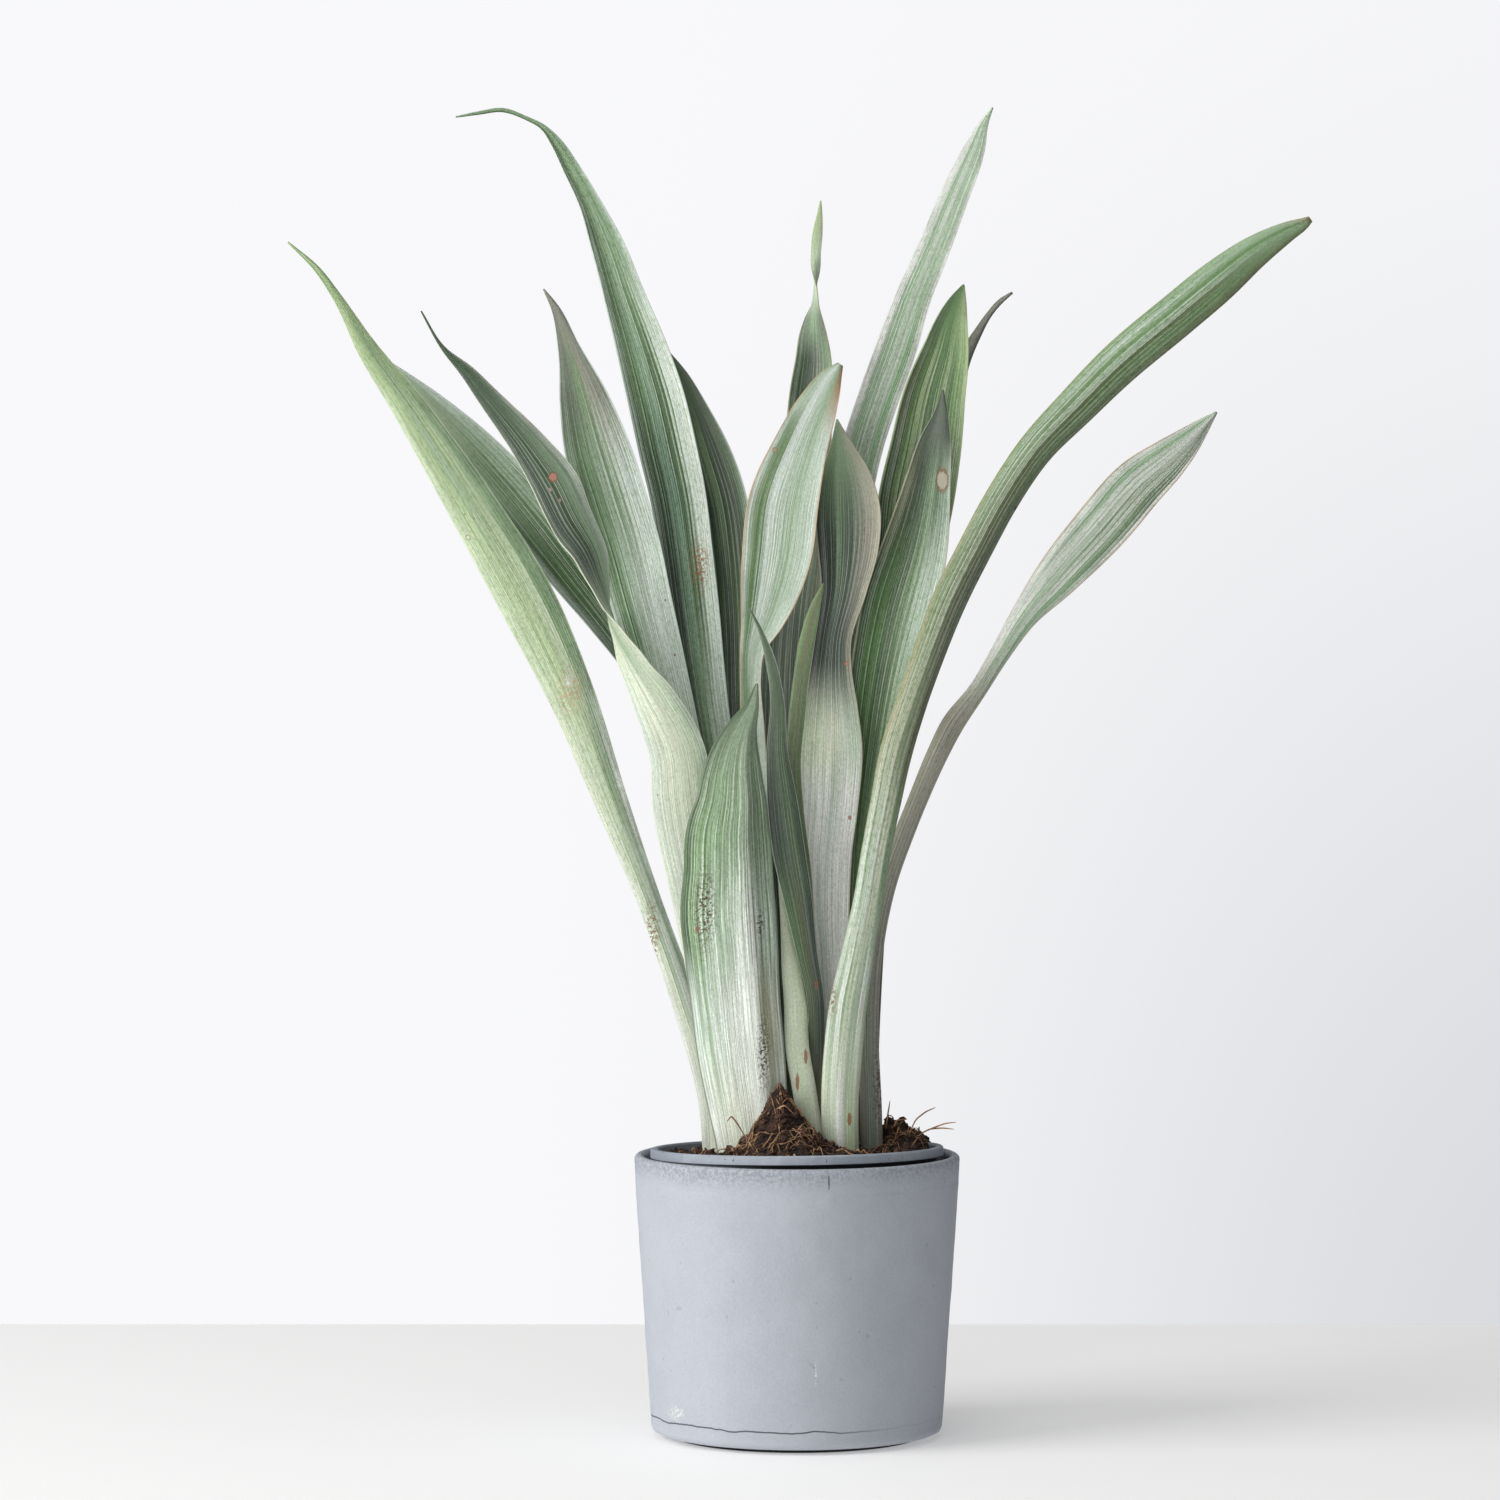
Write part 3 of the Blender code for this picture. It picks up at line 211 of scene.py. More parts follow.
# Each leaf: its bands by height in centimetres, then how strong its mottle and its streaks are,
# and the colour of its margins.
# On some leaves the darker bands are partly painted shade, as said at each of them.
LOOKS = {
    "leaf_far_left": ([
        (14, "white cream white silver"),
        (24, "white cream 0.3 sage 0.45 white 0.6 green 0.75 silver"),
        (31, "cream pale_lime 0.4 pale_lime 0.55 green 0.64 vivid 0.76 white 0.88"),
        (38, "pale_lime lime 0.5 pale_lime 0.7 green 0.8 sage"),
        (47, "pale_lime 0.05 lime 0.3 sage 0.5 lime 0.65 sage 0.85 green"),
        (52, "lime 0.3 green 0.6 lime"),
        (56.5, "vivid lime vivid"),
        (58.2, "olive brown olive")], 0.7, 0.6, "pale_lime"),
    # Its dark lower bands, up to about 36 cm, are its own green darkened by painted shadow.
    "leaf_left_back": ([
        (26, "dark deep sage 0.5 dark 0.6 deep dark"),
        (36, "deep dark sage 0.4 deep 0.55 dark 0.85 silver_green"),
        (41, "silver deep 0.2 vivid 0.35 deep 0.5 vivid 0.65 sage 0.85 silver"),
        (45, "silver sage 0.3 green 0.45 sage 0.6 silver_green"),
        (50, "sage pale_lime sage silver")], 0.6, 0.9, "silver"),
    # Above its twist, from about 42 cm, the dark bands are partly painted shade on the face turned from
    # the light.
    "leaf_left_twisted": ([
        (20, "cream silver cream sage 0.8 cream"),
        (34, "silver cream cream pale_lime silver_green"),
        (38, "pale_lime cream sage 0.6 cream"),
        (42, "silver sage 0.3 deep 0.5 dark 0.8 grey_green"),
        (52, "mauve 0.06 deep 0.16 dark 0.4 deep 0.6 dark 0.8 grey_green")], 0.4, 0.6, "cream"),
    # The dark left part of its bands is partly painted shade: the side of its channel turned from the
    # light, in the shadow of a leaf in front.
    "leaf_tall_arched": ([
        (26, "black_green dark green 0.5 silver_green 0.7 silver"),
        (32, "grey_green 0.1 dark 0.2 sage 0.4 green 0.5 silver_green 0.6 silver"),
        (40, "grey_green 0.06 dark 0.14 dark 0.3 teal 0.42 "
         "sage 0.5 deep 0.58 vivid 0.66 silver 0.78 silver"),
        (45, "silver_green 0.04 dark 0.12 deep 0.26 teal 0.36 "
         "teal 0.48 deep 0.56 vivid 0.64 silver 0.74 white"),
        (50, "silver_green 0.04 deep 0.12 green 0.26 teal 0.38 "
         "sage 0.48 deep 0.58 vivid 0.66 silver 0.76 white"),
        (58, "deep 0.2 green 0.4 sage 0.55 vivid 0.7 silver_green")], 0.75, 0.7, "silver"),
    "leaf_left_inner": ([
        (24, "sage green 0.2 silver 0.4 silver_green 0.75 silver"),
        (38, "silver_green 0.1 vivid 0.18 silver_green 0.4 silver 0.6 silver"),
        (45, "sage 0.06 vivid 0.18 sage 0.28 vivid 0.4 silver_green 0.5 green 0.62 silver 0.7 silver"),
        (50, "grey_green 0.3 green 0.5 mauve 0.7 grey_green"),
        (54, "grey_green mauve grey_green")], 0.6, 0.75, "silver"),
    "leaf_centre_dark": ([
        (28, "black_green dark black_green teal 0.8 silver"),
        (38, "dark deep 0.3 dark 0.5 green 0.65 dark 0.75 teal 0.9 silver"),
        (46, "deep dark 0.3 green 0.45 dark 0.6 grey_green 0.8 sage"),
        (51, "dark deep grey_green")], 0.4, 0.6, "silver"),
    "leaf_centre_broad": ([
        (34, "sage green silver_green silver"),
        (40, "silver 0.05 green 0.14 vivid 0.22 silver 0.34 "
         "silver 0.44 sage 0.48 silver 0.54 sage 0.6 silver"),
        (47, "silver 0.04 green 0.12 green 0.24 silver 0.3 "
         "silver 0.44 sage 0.48 silver 0.54 sage 0.6 silver"),
        (50, "sage silver sage rust")], 0.35, 0.45, "tan"),
    "leaf_centre_spire": ([
        (36, "dark grey_green dark beige"),
        (46, "grey_green dark 0.4 sage 0.6 grey_green"),
        (51, "deep 0.2 dark 0.4 grey_green 0.6 sage"),
        (53, "grey_green sage grey_green"),
        (54.5, "pale_lime silver_green pale_lime"),
        (58, "pale_lime lime lime")], 0.35, 0.6, "khaki"),
    # From about 35 cm up its bands are painted shadow, cast by the leaves in front, over its own
    # stripes.
    "leaf_right_inner": ([
        (22, "chalk 0.3 silver 0.4 chalk 0.6 white 0.75 chalk"),
        (30, "chalk 0.1 white 0.3 chalk 0.45 silver_green 0.55 chalk 0.7 chalk"),
        (33, "pale_lime cream silver_green"),
        (37, "black_green dark 0.5 dark 0.8 beige"),
        (42, "black_green 0.1 dark 0.3 sage 0.36 dark 0.5 grey_green 0.64 mauve 0.8 beige"),
        (48, "green sage beige")], 0.4, 0.55, "beige"),
    "leaf_tall_right": ([
        (28, "green sage green"),
        (42, "white 0.1 spring 0.25 white 0.4 spring 0.5 white 0.6 spring 0.75 chalk"),
        (50, "chalk 0.15 spring 0.3 white 0.4 spring 0.52 white 0.6 spring 0.72 spring 0.8 chalk 0.92"),
        (62, "white 0.2 spring 0.35 white 0.5 "
         "spring 0.65 chalk 0.8 spring 0.9 white")], 0.6, 0.7, "white"),
    "leaf_right_broad": ([
        (36, "deep vivid 0.2 olive_dark 0.4 sage 0.7 silver"),
        (44, "deep 0.1 vivid 0.2 lime 0.28 deep 0.35 vivid 0.5 "
         "lime 0.56 deep 0.62 vivid 0.75 lime 0.85 sage"),
        (50, "olive_dark 0.1 vivid 0.25 lime 0.32 deep 0.42 "
         "vivid 0.55 lime 0.6 deep 0.68 vivid 0.8 lime"),
        (54, "deep vivid lime")], 0.6, 0.7, "lime"),
    "leaf_thin_tip": ([
        (40, "dark grey_green dark"),
        (54, "grey_green mauve dark")], 0.4, 0.6, "mauve"),
    # The darker left part of its bands is partly painted shade, on the side of its channel turned from
    # the light.
    "leaf_right_front": ([
        (22, "deep green olive"),
        (34, "deep 0.1 vivid 0.3 deep 0.5 green 0.65 silver_green"),
        (40, "deep 0.1 vivid 0.28 deep 0.42 green 0.55 silver_green 0.75 silver"),
        (45, "olive 0.1 dark 0.3 deep 0.45 sage 0.6 deep 0.7 silver_green"),
        (48, "dark grey_green dark")], 0.75, 0.6, "beige"),
    "leaf_right_arching": ([
        (14, "cream pale_lime 0.3 chalk 0.5 lime 0.7 cream"),
        (21, "white sage 0.2 white 0.32 green 0.42 cream 0.55 sage 0.65 white 0.8 sage"),
        (27, "sage white 0.2 green 0.32 silver 0.42 olive 0.52 cream 0.62 green 0.75 sage"),
        (34, "khaki 0.1 beige 0.25 green 0.35 beige 0.45 green 0.52 olive 0.7 olive_dark"),
        (40, "khaki 0.12 olive 0.2 sage 0.26 olive 0.32 "
         "olive 0.42 silver_green 0.47 olive 0.53 olive_dark 0.7 grey_green"),
        (53, "green 0.14 sage 0.2 silver 0.25 green 0.31 vivid 0.42 "
         "silver_green 0.47 olive 0.53 vivid 0.64 green 0.75 olive"),
        (57.2, "sage 0.2 vivid 0.4 sage 0.5 green 0.7 olive"),
        (58, "tan brown tan")], 0.8, 0.55, "khaki"),
    "leaf_right_lower": ([
        (16, "mauve grey_green mauve"),
        (34, "beige mauve beige"),
        (38, "chalk 0.2 white 0.35 spring 0.5 chalk 0.65 spring 0.8 chalk"),
        (45, "white 0.12 spring 0.22 chalk 0.32 sage 0.42 white 0.5 "
         "vivid 0.6 chalk 0.7 vivid 0.8 deep 0.86 chalk 0.95"),
        (49, "white spring chalk deep white")], 0.5, 0.7, "tan"),
    # The grey-green and khaki strip right of its ridge, about 0.7 to 0.9 across, is partly painted
    # shade on the side turned from the light.
    "leaf_front_folded": ([
        (14, "white cream white silver"),
        (20, "silver 0.06 sage 0.16 silver 0.3 white 0.45 white 0.68 khaki 0.74 beige 0.9 silver"),
        (24, "deep 0.05 green 0.14 sage 0.24 silver 0.32 sage 0.42 "
         "silver 0.55 white 0.64 grey_green 0.74 silver 0.86 sage"),
        (29, "deep 0.06 green 0.2 sage 0.32 green 0.45 sage 0.55 grey_green 0.75 sage 0.9 grey_green"),
        (35, "deep 0.1 grey_green 0.3 sage 0.42 "
         "grey_green 0.6 sage 0.7 grey_green")], 0.6, 0.7, "grey_green"),
    "leaf_young_olive": ([
        (16, "cream olive khaki"),
        (19, "olive_dark 0.2 dark 0.5 black_green 0.8 dark"),
        (24, "deep 0.2 olive_dark 0.5 dark 0.8 black_green"),
        (29, "black_green 0.1 dark 0.4 deep 0.7 dark"),
        (38, "grey_green 0.14 deep 0.6 grey_green 0.9 silver")], 0.5, 0.3, "silver_green"),
    "leaf_sheath": ([
        (14, "cream pale_lime cream"),
        (26, "pale_lime cream lime")], 0.2, 0.3, "cream"),
    "leaf_young_narrow": ([
        (20, "olive green olive"),
        (40, "green olive green")], 0.5, 0.5, "khaki"),
}

# Marks on each leaf: x and z in centimetres, half width, half height, colour and style
MARKS = {
    "leaf_far_left": [
        (-15.7, 42.7, 0.1, 0.12, "pale_lime", "ring"), (-15.85, 43.8, 0.05, 0.05, "brown", "spot"),
        (-15.4, 43.6, 0.05, 0.05, "brown", "spot"), (-10.8, 35.4, 0.9, 1.6, "tan", "scabs"),
        (-10.9, 35.9, 0.3, 0.5, "chalk", "scabs"), (-6.9, 23.7, 0.5, 2.5, "brown", "scabs")],
    "leaf_left_twisted": [
        (-11.5, 45.5, 0.2, 0.21, "pink", "ring"), (-11.65, 44.9, 0.09, 0.1, "mauve", "ring"),
        (-11.2, 44.4, 0.08, 0.09, "mauve", "ring"), (-9.1, 38.9, 0.05, 0.05, "brown", "spot"),
        (-6.6, 30.5, 0.05, 0.05, "brown", "spot")],
    "leaf_tall_arched": [
        (-4.6, 41.4, 0.6, 1.8, "rust", "scabs")],
    "leaf_left_inner": [
        (-6.25, 39.7, 0.06, 0.06, "brown", "spot"), (-5.8, 37.1, 0.06, 0.07, "brown", "spot")],
    "leaf_centre_broad": [
        (-1.05, 46.8, 0.1, 0.12, "tan", "ring")],
    "leaf_right_inner": [
        (3.2, 42.8, 0.05, 1.2, "brown", "scabs"), (2.35, 36.7, 0.09, 0.1, "pink", "ring"),
        (2.5, 29.4, 0.07, 0.09, "pink", "ring")],
    "leaf_right_front": [
        (6.92, 45.4, 0.27, 0.5, "beige", "ring")],
    "leaf_right_arching": [
        (2.45, 15.3, 0.12, 0.35, "rust", "spot"), (10.3, 44.0, 0.12, 0.14, "bark", "spot"),
        (8.5, 40.7, 0.08, 0.09, "bark", "spot"), (1.6, 21.0, 0.35, 1.2, "brown", "scabs")],
    "leaf_front_folded": [
        (-4.35, 25.2, 0.8, 3.0, "bark", "scabs"), (-1.75, 24.5, 0.3, 1.0, "bark", "scabs"),
        (-1.6, 18.4, 0.45, 2.6, "bark", "scabs"), (-4.7, 24.25, 0.08, 0.14, "brown", "ring")],
    "leaf_young_olive": [
        (0.9, 21.6, 0.1, 0.3, "brown", "spot")],
    "leaf_right_lower": [
        (4.0, 17.0, 0.6, 3.5, "bark", "scabs")],
    "leaf_sheath": [
        (0.0, 17.0, 0.1, 0.5, "rust", "spot"), (0.4, 18.2, 0.1, 0.4, "rust", "spot")],
}

# Outer pot
POT_RINGS = 230
POT_STEPS = 420
POT_WALL = 0.0048
POT_TAPER = 0.0083        # how much smaller its radius is at the foot
POT_CHAMFER = 0.003
POT_FLOOR = 0.0118        # height of its floor, inside
ROUGH_BAND = 0.0130       # height of the rough band under the rim
SEAM_HEIGHT = 0.0087      # height of the hairline crack near the base
# Marks on it: x and z in centimetres, half width, half height, colour and style
POT_MARKS = [(0.82, 3.9, 0.05, 0.75, "chalk", "scabs"), (1.42, 12.8, 0.035, 0.42, "soot", "spot"),
             (-5.7, 1.6, 0.5, 0.5, "silver", "scabs")]
# Pits in the outer pot: turn from the front in degrees, height, radius
PITS = [(-10, 0.063, 0.0009), (27, 0.056, 0.0011), (17, 0.036, 0.0008), (60, 0.076, 0.0012),
        (-38, 0.094, 0.0008), (95, 0.050, 0.0010), (150, 0.083, 0.0011), (-120, 0.066, 0.0009)]

# Nursery pot
TILT_RIGHT = 0.0105       # slope of its rim, up to the right
TILT_FRONT = 0.034        # slope of its rim, up to the front
LIP_UNDER = 0.1331        # underside of its lip, on the axis

# Soil
SOIL_RINGS = 120
SOIL_STEPS = 330
SOIL_LEVEL = 0.1328
SOIL_FOOT = (0.0013, -0.0042)   # middle of the plug's foot, which leans with its pot
SOIL_FOOT_RADIUS = 0.0465
# Heaps on it, in metres: x, y, height, reach along x, reach along y
SOIL_HEAPS = [
    (-0.0085, -0.033, 0.0270, 0.0155, 0.014), (0.0500, 0.004, 0.013, 0.013, 0.015),
    (0.0425, 0.002, 0.009, 0.0045, 0.006), (-0.0050, 0.000, 0.004, 0.045, 0.040),
    (-0.0040, -0.036, 0.006, 0.028, 0.014), (0.0580, -0.012, 0.005, 0.010, 0.014),
]
BARK_COUNT = 1500
CRUMB_COUNT = 5200
FIBRE_COUNT = 210
# Roots that stand out of the soil, as points in centimetres
ROOTS = [
    [(5.3, -1.0, 14.4), (5.6, -1.0, 15.1), (6.1, -1.1, 15.5), (6.55, -1.2, 15.7)],
    [(5.6, -1.4, 14.3), (6.05, -1.5, 14.6), (6.5, -1.6, 14.8), (7.0, -1.7, 15.0), (7.5, -1.7, 15.05)],
    [(5.9, -1.2, 14.5), (6.3, -1.3, 14.7), (6.9, -1.4, 14.75), (7.4, -1.5, 14.7)],
    [(4.2, -0.9, 14.6), (4.3, -1.0, 15.4), (4.4, -1.0, 16.0)],
    [(4.6, -1.2, 14.8), (4.7, -1.2, 15.1), (5.2, -1.3, 15.15)],
    [(-3.3, -3.9, 15.3), (-3.1, -4.3, 15.6), (-2.8, -4.4, 15.2), (-2.5, -4.4, 14.7)],
    [(-2.1, -4.6, 14.2), (-1.8, -4.9, 14.9), (-1.3, -4.9, 14.8)],
    [(-1.0, -4.2, 15.9), (-0.6, -4.4, 16.1), (-0.2, -4.3, 15.7)],
]

# Stage, lights and camera
CAMERA_AT = Vector((-0.0223, -2.70, 0.40))
CAMERA_PITCH = radians(1.571)
CAMERA_LENS = 136.6
FLOOR_BACK = 0.41         # how far the table reaches behind the plant
FLOOR_SIZE = (5.0, 3.2, 0.03)
# How strongly the table glows: painted light that lifts the shadows on it.
FLOOR_GLOW = 0.28
LAMPS_AIM = Vector((0.0, 0.0, 0.3))
FILL = 0.13               # how strongly the surround lights the scene
# Each lamp: name, place, size, power, colour
LAMPS = [
    ("key", (-2.5, -1.2, 1.4), 1.9, 82.0, (1.0, 0.99, 0.975)),
    ("front", (-0.9, -2.6, 1.3), 1.6, 17.0, (1.0, 1.0, 1.0)),
    ("top", (-0.2, -0.2, 3.0), 2.6, 34.0, (1.0, 1.0, 1.0)),
]


def linear(name):
    """A palette colour as the linear RGBA that a shader takes."""
    shares = [value / 255 for value in PALETTE[name]]
    return (*[s / 12.92 if s <= 0.04045 else ((s + 0.055) / 1.055) ** 2.4 for s in shares], 1.0)


def new_object(name, data):
    made = bpy.data.objects.new(name, data)
    bpy.context.scene.collection.objects.link(made)
    return made


def new_mesh(name, points, faces, smooth=True):
    mesh = bpy.data.meshes.new(name)
    mesh.from_pydata([tuple(p) for p in points], [], faces)
    if smooth:
        mesh.shade_smooth()
    return new_object(name, mesh)


def ring_faces(rings, size, first=0, flip=False):
    """Faces between closed rings of vertices that follow each other."""
    faces = []
    for i in range(rings - 1):
        a, b = first + i * size, first + (i + 1) * size
        for j in range(size):
            k = (j + 1) % size
            faces.append((a + j, b + j, b + k, a + k) if flip else (a + j, a + k, b + k, b + j))
    return faces


def dress(piece, finish, node=None):
    """Gives a piece its material and its place in the frame."""
    piece.data.materials.append(finish)
    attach(piece, "root")
    if node:
        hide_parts(node)


# Shader nodes

class Nodes:
    """The node tree of a material or a world, with one short call for each kind of node."""

    def __init__(self, owner):
        owner.use_nodes = True
        self.owner = owner
        self.tree = owner.node_tree

    def add(self, kind, inputs, output=0, **settings):
        """A new node with its inputs linked or set. Gives back one of its outputs."""
        made = self.tree.nodes.new(kind)
        for key, value in settings.items():
            setattr(made, key, value)
        self.fill(made, inputs)
        return made.outputs[output]

    def fill(self, node, inputs):
        for key, value in inputs.items():
            if isinstance(value, bpy.types.NodeSocket):
                self.tree.links.new(value, node.inputs[key])
            else:
                node.inputs[key].default_value = value

    def math(self, operation, *values):
        return self.add("ShaderNodeMath", dict(enumerate(values)), operation=operation)

    def times(self, first, second):
        return self.math("MULTIPLY", first, second)

    def swayed(self, value, pattern, amount):
        """The value, moved up and down by a pattern that is about 0.5 on average."""
        return self.math("ADD", value, self.times(self.math("SUBTRACT", pattern, 0.5), amount))

    def place(self):
        return self.add("ShaderNodeTexCoord", {}, "Object")

    def uv(self, name):
        return self.add("ShaderNodeUVMap", {}, uv_map=name)

    def part(self, vector, axis):
        return self.add("ShaderNodeSeparateXYZ", {0: vector}, axis)

    def scaled(self, vector, x, y, z=1.0):
        return self.add("ShaderNodeVectorMath", {0: vector, 1: (x, y, z)}, operation="MULTIPLY")

    def noise(self, vector, scale=1.0, detail=3.0, rough=0.5, distortion=0.0):
        return self.add("ShaderNodeTexNoise", {
            "Vector": vector, "Scale": scale, "Detail": detail, "Roughness": rough,
            "Distortion": distortion})

    def step(self, value, low, high, start=0.0, end=1.0):
        """Rises smoothly from start to end as the value goes from low to high."""
        return self.add("ShaderNodeMapRange", {
            0: value, 1: low, 2: high, 3: start, 4: end}, interpolation_type="SMOOTHSTEP")

    def mix(self, share, first, second, blend="MIX"):
        return self.add("ShaderNodeMix", {0: share, 6: first, 7: second}, 2,
                        data_type="RGBA", blend_type=blend)

    def shade(self, colour, factor):
        """The colour times a grey factor."""
        grey = self.add("ShaderNodeCombineColor", {0: factor, 1: factor, 2: factor})
        return self.mix(1.0, colour, grey, "MULTIPLY")

    def ramp(self, value, stops):
        made = self.tree.nodes.new("ShaderNodeValToRGB")
        self.tree.links.new(value, made.inputs[0])
        points = made.color_ramp.elements
        while len(points) < len(stops):
            points.new(0.5)
        for point, (at, colour) in zip(points, sorted(stops)):
            point.position = at
            point.color = colour
        return made.outputs[0]

    def bump(self, height, strength, distance, before=None):
        inputs = {"Height": height, "Strength": strength, "Distance": distance}
        if before:
            inputs["Normal"] = before
        return self.add("ShaderNodeBump", inputs)

    def finish(self, colour, rough, normal=None, **more):
        """Joins colour, roughness and normal to the surface, and gives back the material."""
        inputs = {"Base Color": colour, "Roughness": rough}
        if normal:
            inputs["Normal"] = normal
        inputs.update({key.replace("_", " "): value for key, value in more.items()})
        self.fill(self.tree.nodes["Principled BSDF"], inputs)
        return self.owner


def material_nodes(name):
    return Nodes(bpy.data.materials.new(name))


# Leaves

def stops(text):
    """Places and colours of a band. A colour with no place of its own is spread evenly."""
    found = []
    for word in text.split():
        if word in PALETTE:
            found.append([None, word])
        else:
            found[-1][0] = float(word)
    found[0][0] = found[0][0] or 0.0
    found[-1][0] = found[-1][0] or 1.0
    for i, (at, _) in enumerate(found):
        if at is None:
            ahead = next(j for j in range(i + 1, len(found)) if found[j][0] is not None)
            found[i][0] = found[i - 1][0] + (found[ahead][0] - found[i - 1][0]) / (ahead - i + 1)
    return [(at, linear(word)) for at, word in found]


def leaf_material(name):
    """Bands of colour, with long pale and dark rays, fine hairs, mottle, a margin and marks."""
    bands, mottle, streak, margin = LOOKS[name]
    n = material_nodes(name)
    flat, across, place = n.uv("flat"), n.uv("across"), n.place()
    x, z = n.part(place, 0), n.part(place, 2)
    u, v = n.part(across, 0), n.part(across, 1)
    lines = n.step(n.noise(n.scaled(across, 30, 1.2), detail=3, rough=0.6), 0.40, 0.60)
    hairs = n.step(n.noise(n.scaled(across, 84, 7), detail=3, rough=0.7), 0.39, 0.61)
    rays = n.noise(n.scaled(across, 52, 0.9), detail=4, rough=0.65, distortion=0.15)
    cells = n.noise(n.scaled(flat, 1500, 700), detail=3, rough=0.75)
    u_band = n.swayed(n.swayed(u, lines, 0.22 * streak), cells, 0.07)
    colour = n.ramp(u_band, stops(bands[0][1]))
    for (low, _), (high, text) in zip(bands, bands[1:]):
        colour = n.mix(n.step(z, low * CM, high * CM), colour, n.ramp(u_band, stops(text)))
    below_tip = n.step(v, 0.80, 0.95, streak, 0.15 * streak)
    pale = n.mix(0.7, colour, linear("white"))
    colour = n.mix(n.times(n.step(rays, 0.53, 0.60), below_tip), colour, pale)
    shaded = n.mix(1.0, colour, (0.50, 0.61, 0.47, 1), "MULTIPLY")
    colour = n.mix(n.times(n.step(rays, 0.46, 0.40), below_tip), colour, shaded)
    depth = n.times(n.step(hairs, 0.0, 1.0, -0.30, 0.28), below_tip)
    colour = n.shade(colour, n.math("ADD", depth, 1.0))
    blotch = n.noise(n.scaled(flat, 900, 330), detail=5, rough=0.7, distortion=0.4)
    green = n.mix(1.0, colour, (0.58, 0.70, 0.53, 1), "MULTIPLY")
    blotched = n.times(n.step(blotch, 0.50, 0.60, 0, mottle), n.step(z, 0.15, 0.28, 0.15, 1))
    blotched = n.times(blotched, n.step(v, 0.86, 0.97, 1, 0.3))
    colour = n.mix(blotched, colour, green)
    colour = n.shade(colour, n.step(cells, 0.32, 0.68, 0.86, 1.10))
    edge = n.swayed(n.math("ABSOLUTE", n.math("SUBTRACT", u, 0.5)), cells, 0.02)
    colour = n.mix(n.step(edge, 0.470, 0.488, 0, 0.85), colour, linear(margin))
    ragged = n.noise(n.scaled(flat, 640, 640), detail=4, rough=0.7)
    for mark in MARKS.get(name, ()):
        colour = leaf_mark(n, colour, x, z, ragged, *mark)
    normal = n.bump(hairs, 0.45, 0.0005)
    normal = n.bump(cells, 0.25, 0.0002, normal)
    return n.finish(colour, n.step(blotch, 0.3, 0.7, 0.40, 0.56), normal)


def leaf_mark(n, colour, x, z, ragged, at_x, at_z, half_x, half_z, paint, style):
    """A scar or a patch of dirt: a plain spot, a spot in a brown ring, or scattered scabs."""
    away_x = n.math("DIVIDE", n.math("SUBTRACT", x, at_x * CM), half_x * CM)
    away_z = n.math("DIVIDE", n.math("SUBTRACT", z, at_z * CM), half_z * CM)
    away = n.math("SQRT", n.math("ADD", n.math("POWER", away_x, 2.0), n.math("POWER", away_z, 2.0)))
    away = n.swayed(away, ragged, 0.9)
    if style == "ring":
        colour = n.mix(n.step(away, 1.0, 1.35, 0.8, 0.0), colour, linear("brown"))
    share = n.step(away, 0.7, 1.0, 0.9, 0.0)
    if style == "scabs":
        share = n.times(n.step(away, 0.2, 1.1, 1.0, 0.0), n.step(ragged, 0.49, 0.55))
    return n.mix(share, colour, linear(paint))


def leaf_rows(stations, count):
    """Stations along a smooth curve, evenly along its length, and how far along each one is."""
    rows = np.array([(*station, 0, 0)[:6] for station in stations], float)
    knots = np.concatenate([[0], np.cumsum(np.linalg.norm(np.diff(rows[:, :3], axis=0), axis=1))])
    slope = np.gradient(rows, knots, axis=0)
    at = np.linspace(0, knots[-1], count)
    low = np.clip(np.searchsorted(knots, at, "right") - 1, 0, len(knots) - 2)
    span = (knots[low + 1] - knots[low])[:, None]
    t = (at - knots[low])[:, None] / span
    a, b = 2 * t ** 3 - 3 * t ** 2 + 1, t ** 3 - 2 * t ** 2 + t
    rows = a * rows[low] + b * span * slope[low] + (1 - a) * rows[low + 1] \
        + (t ** 3 - t ** 2) * span * slope[low + 1]
    return rows, at


def unit(rows):
    return rows / (np.linalg.norm(rows, axis=1)[:, None] + 1e-12)


def leaf_frame(rows):
    """The leaf's own directions at each row: along its width, and out of its face."""
    forward = unit(np.gradient(rows[:, :3], axis=0))
    flat = unit(np.stack([forward[:, 2], 0 * forward[:, 0], -forward[:, 0]], 1))
    front = np.cross(flat, forward)
    turn = np.radians(rows[:, 5])[:, None]
    return cos_sin(turn, flat, front), cos_sin(turn, front, -flat)


def cos_sin(turn, first, second):
    return np.cos(turn) * first + np.sin(turn) * second


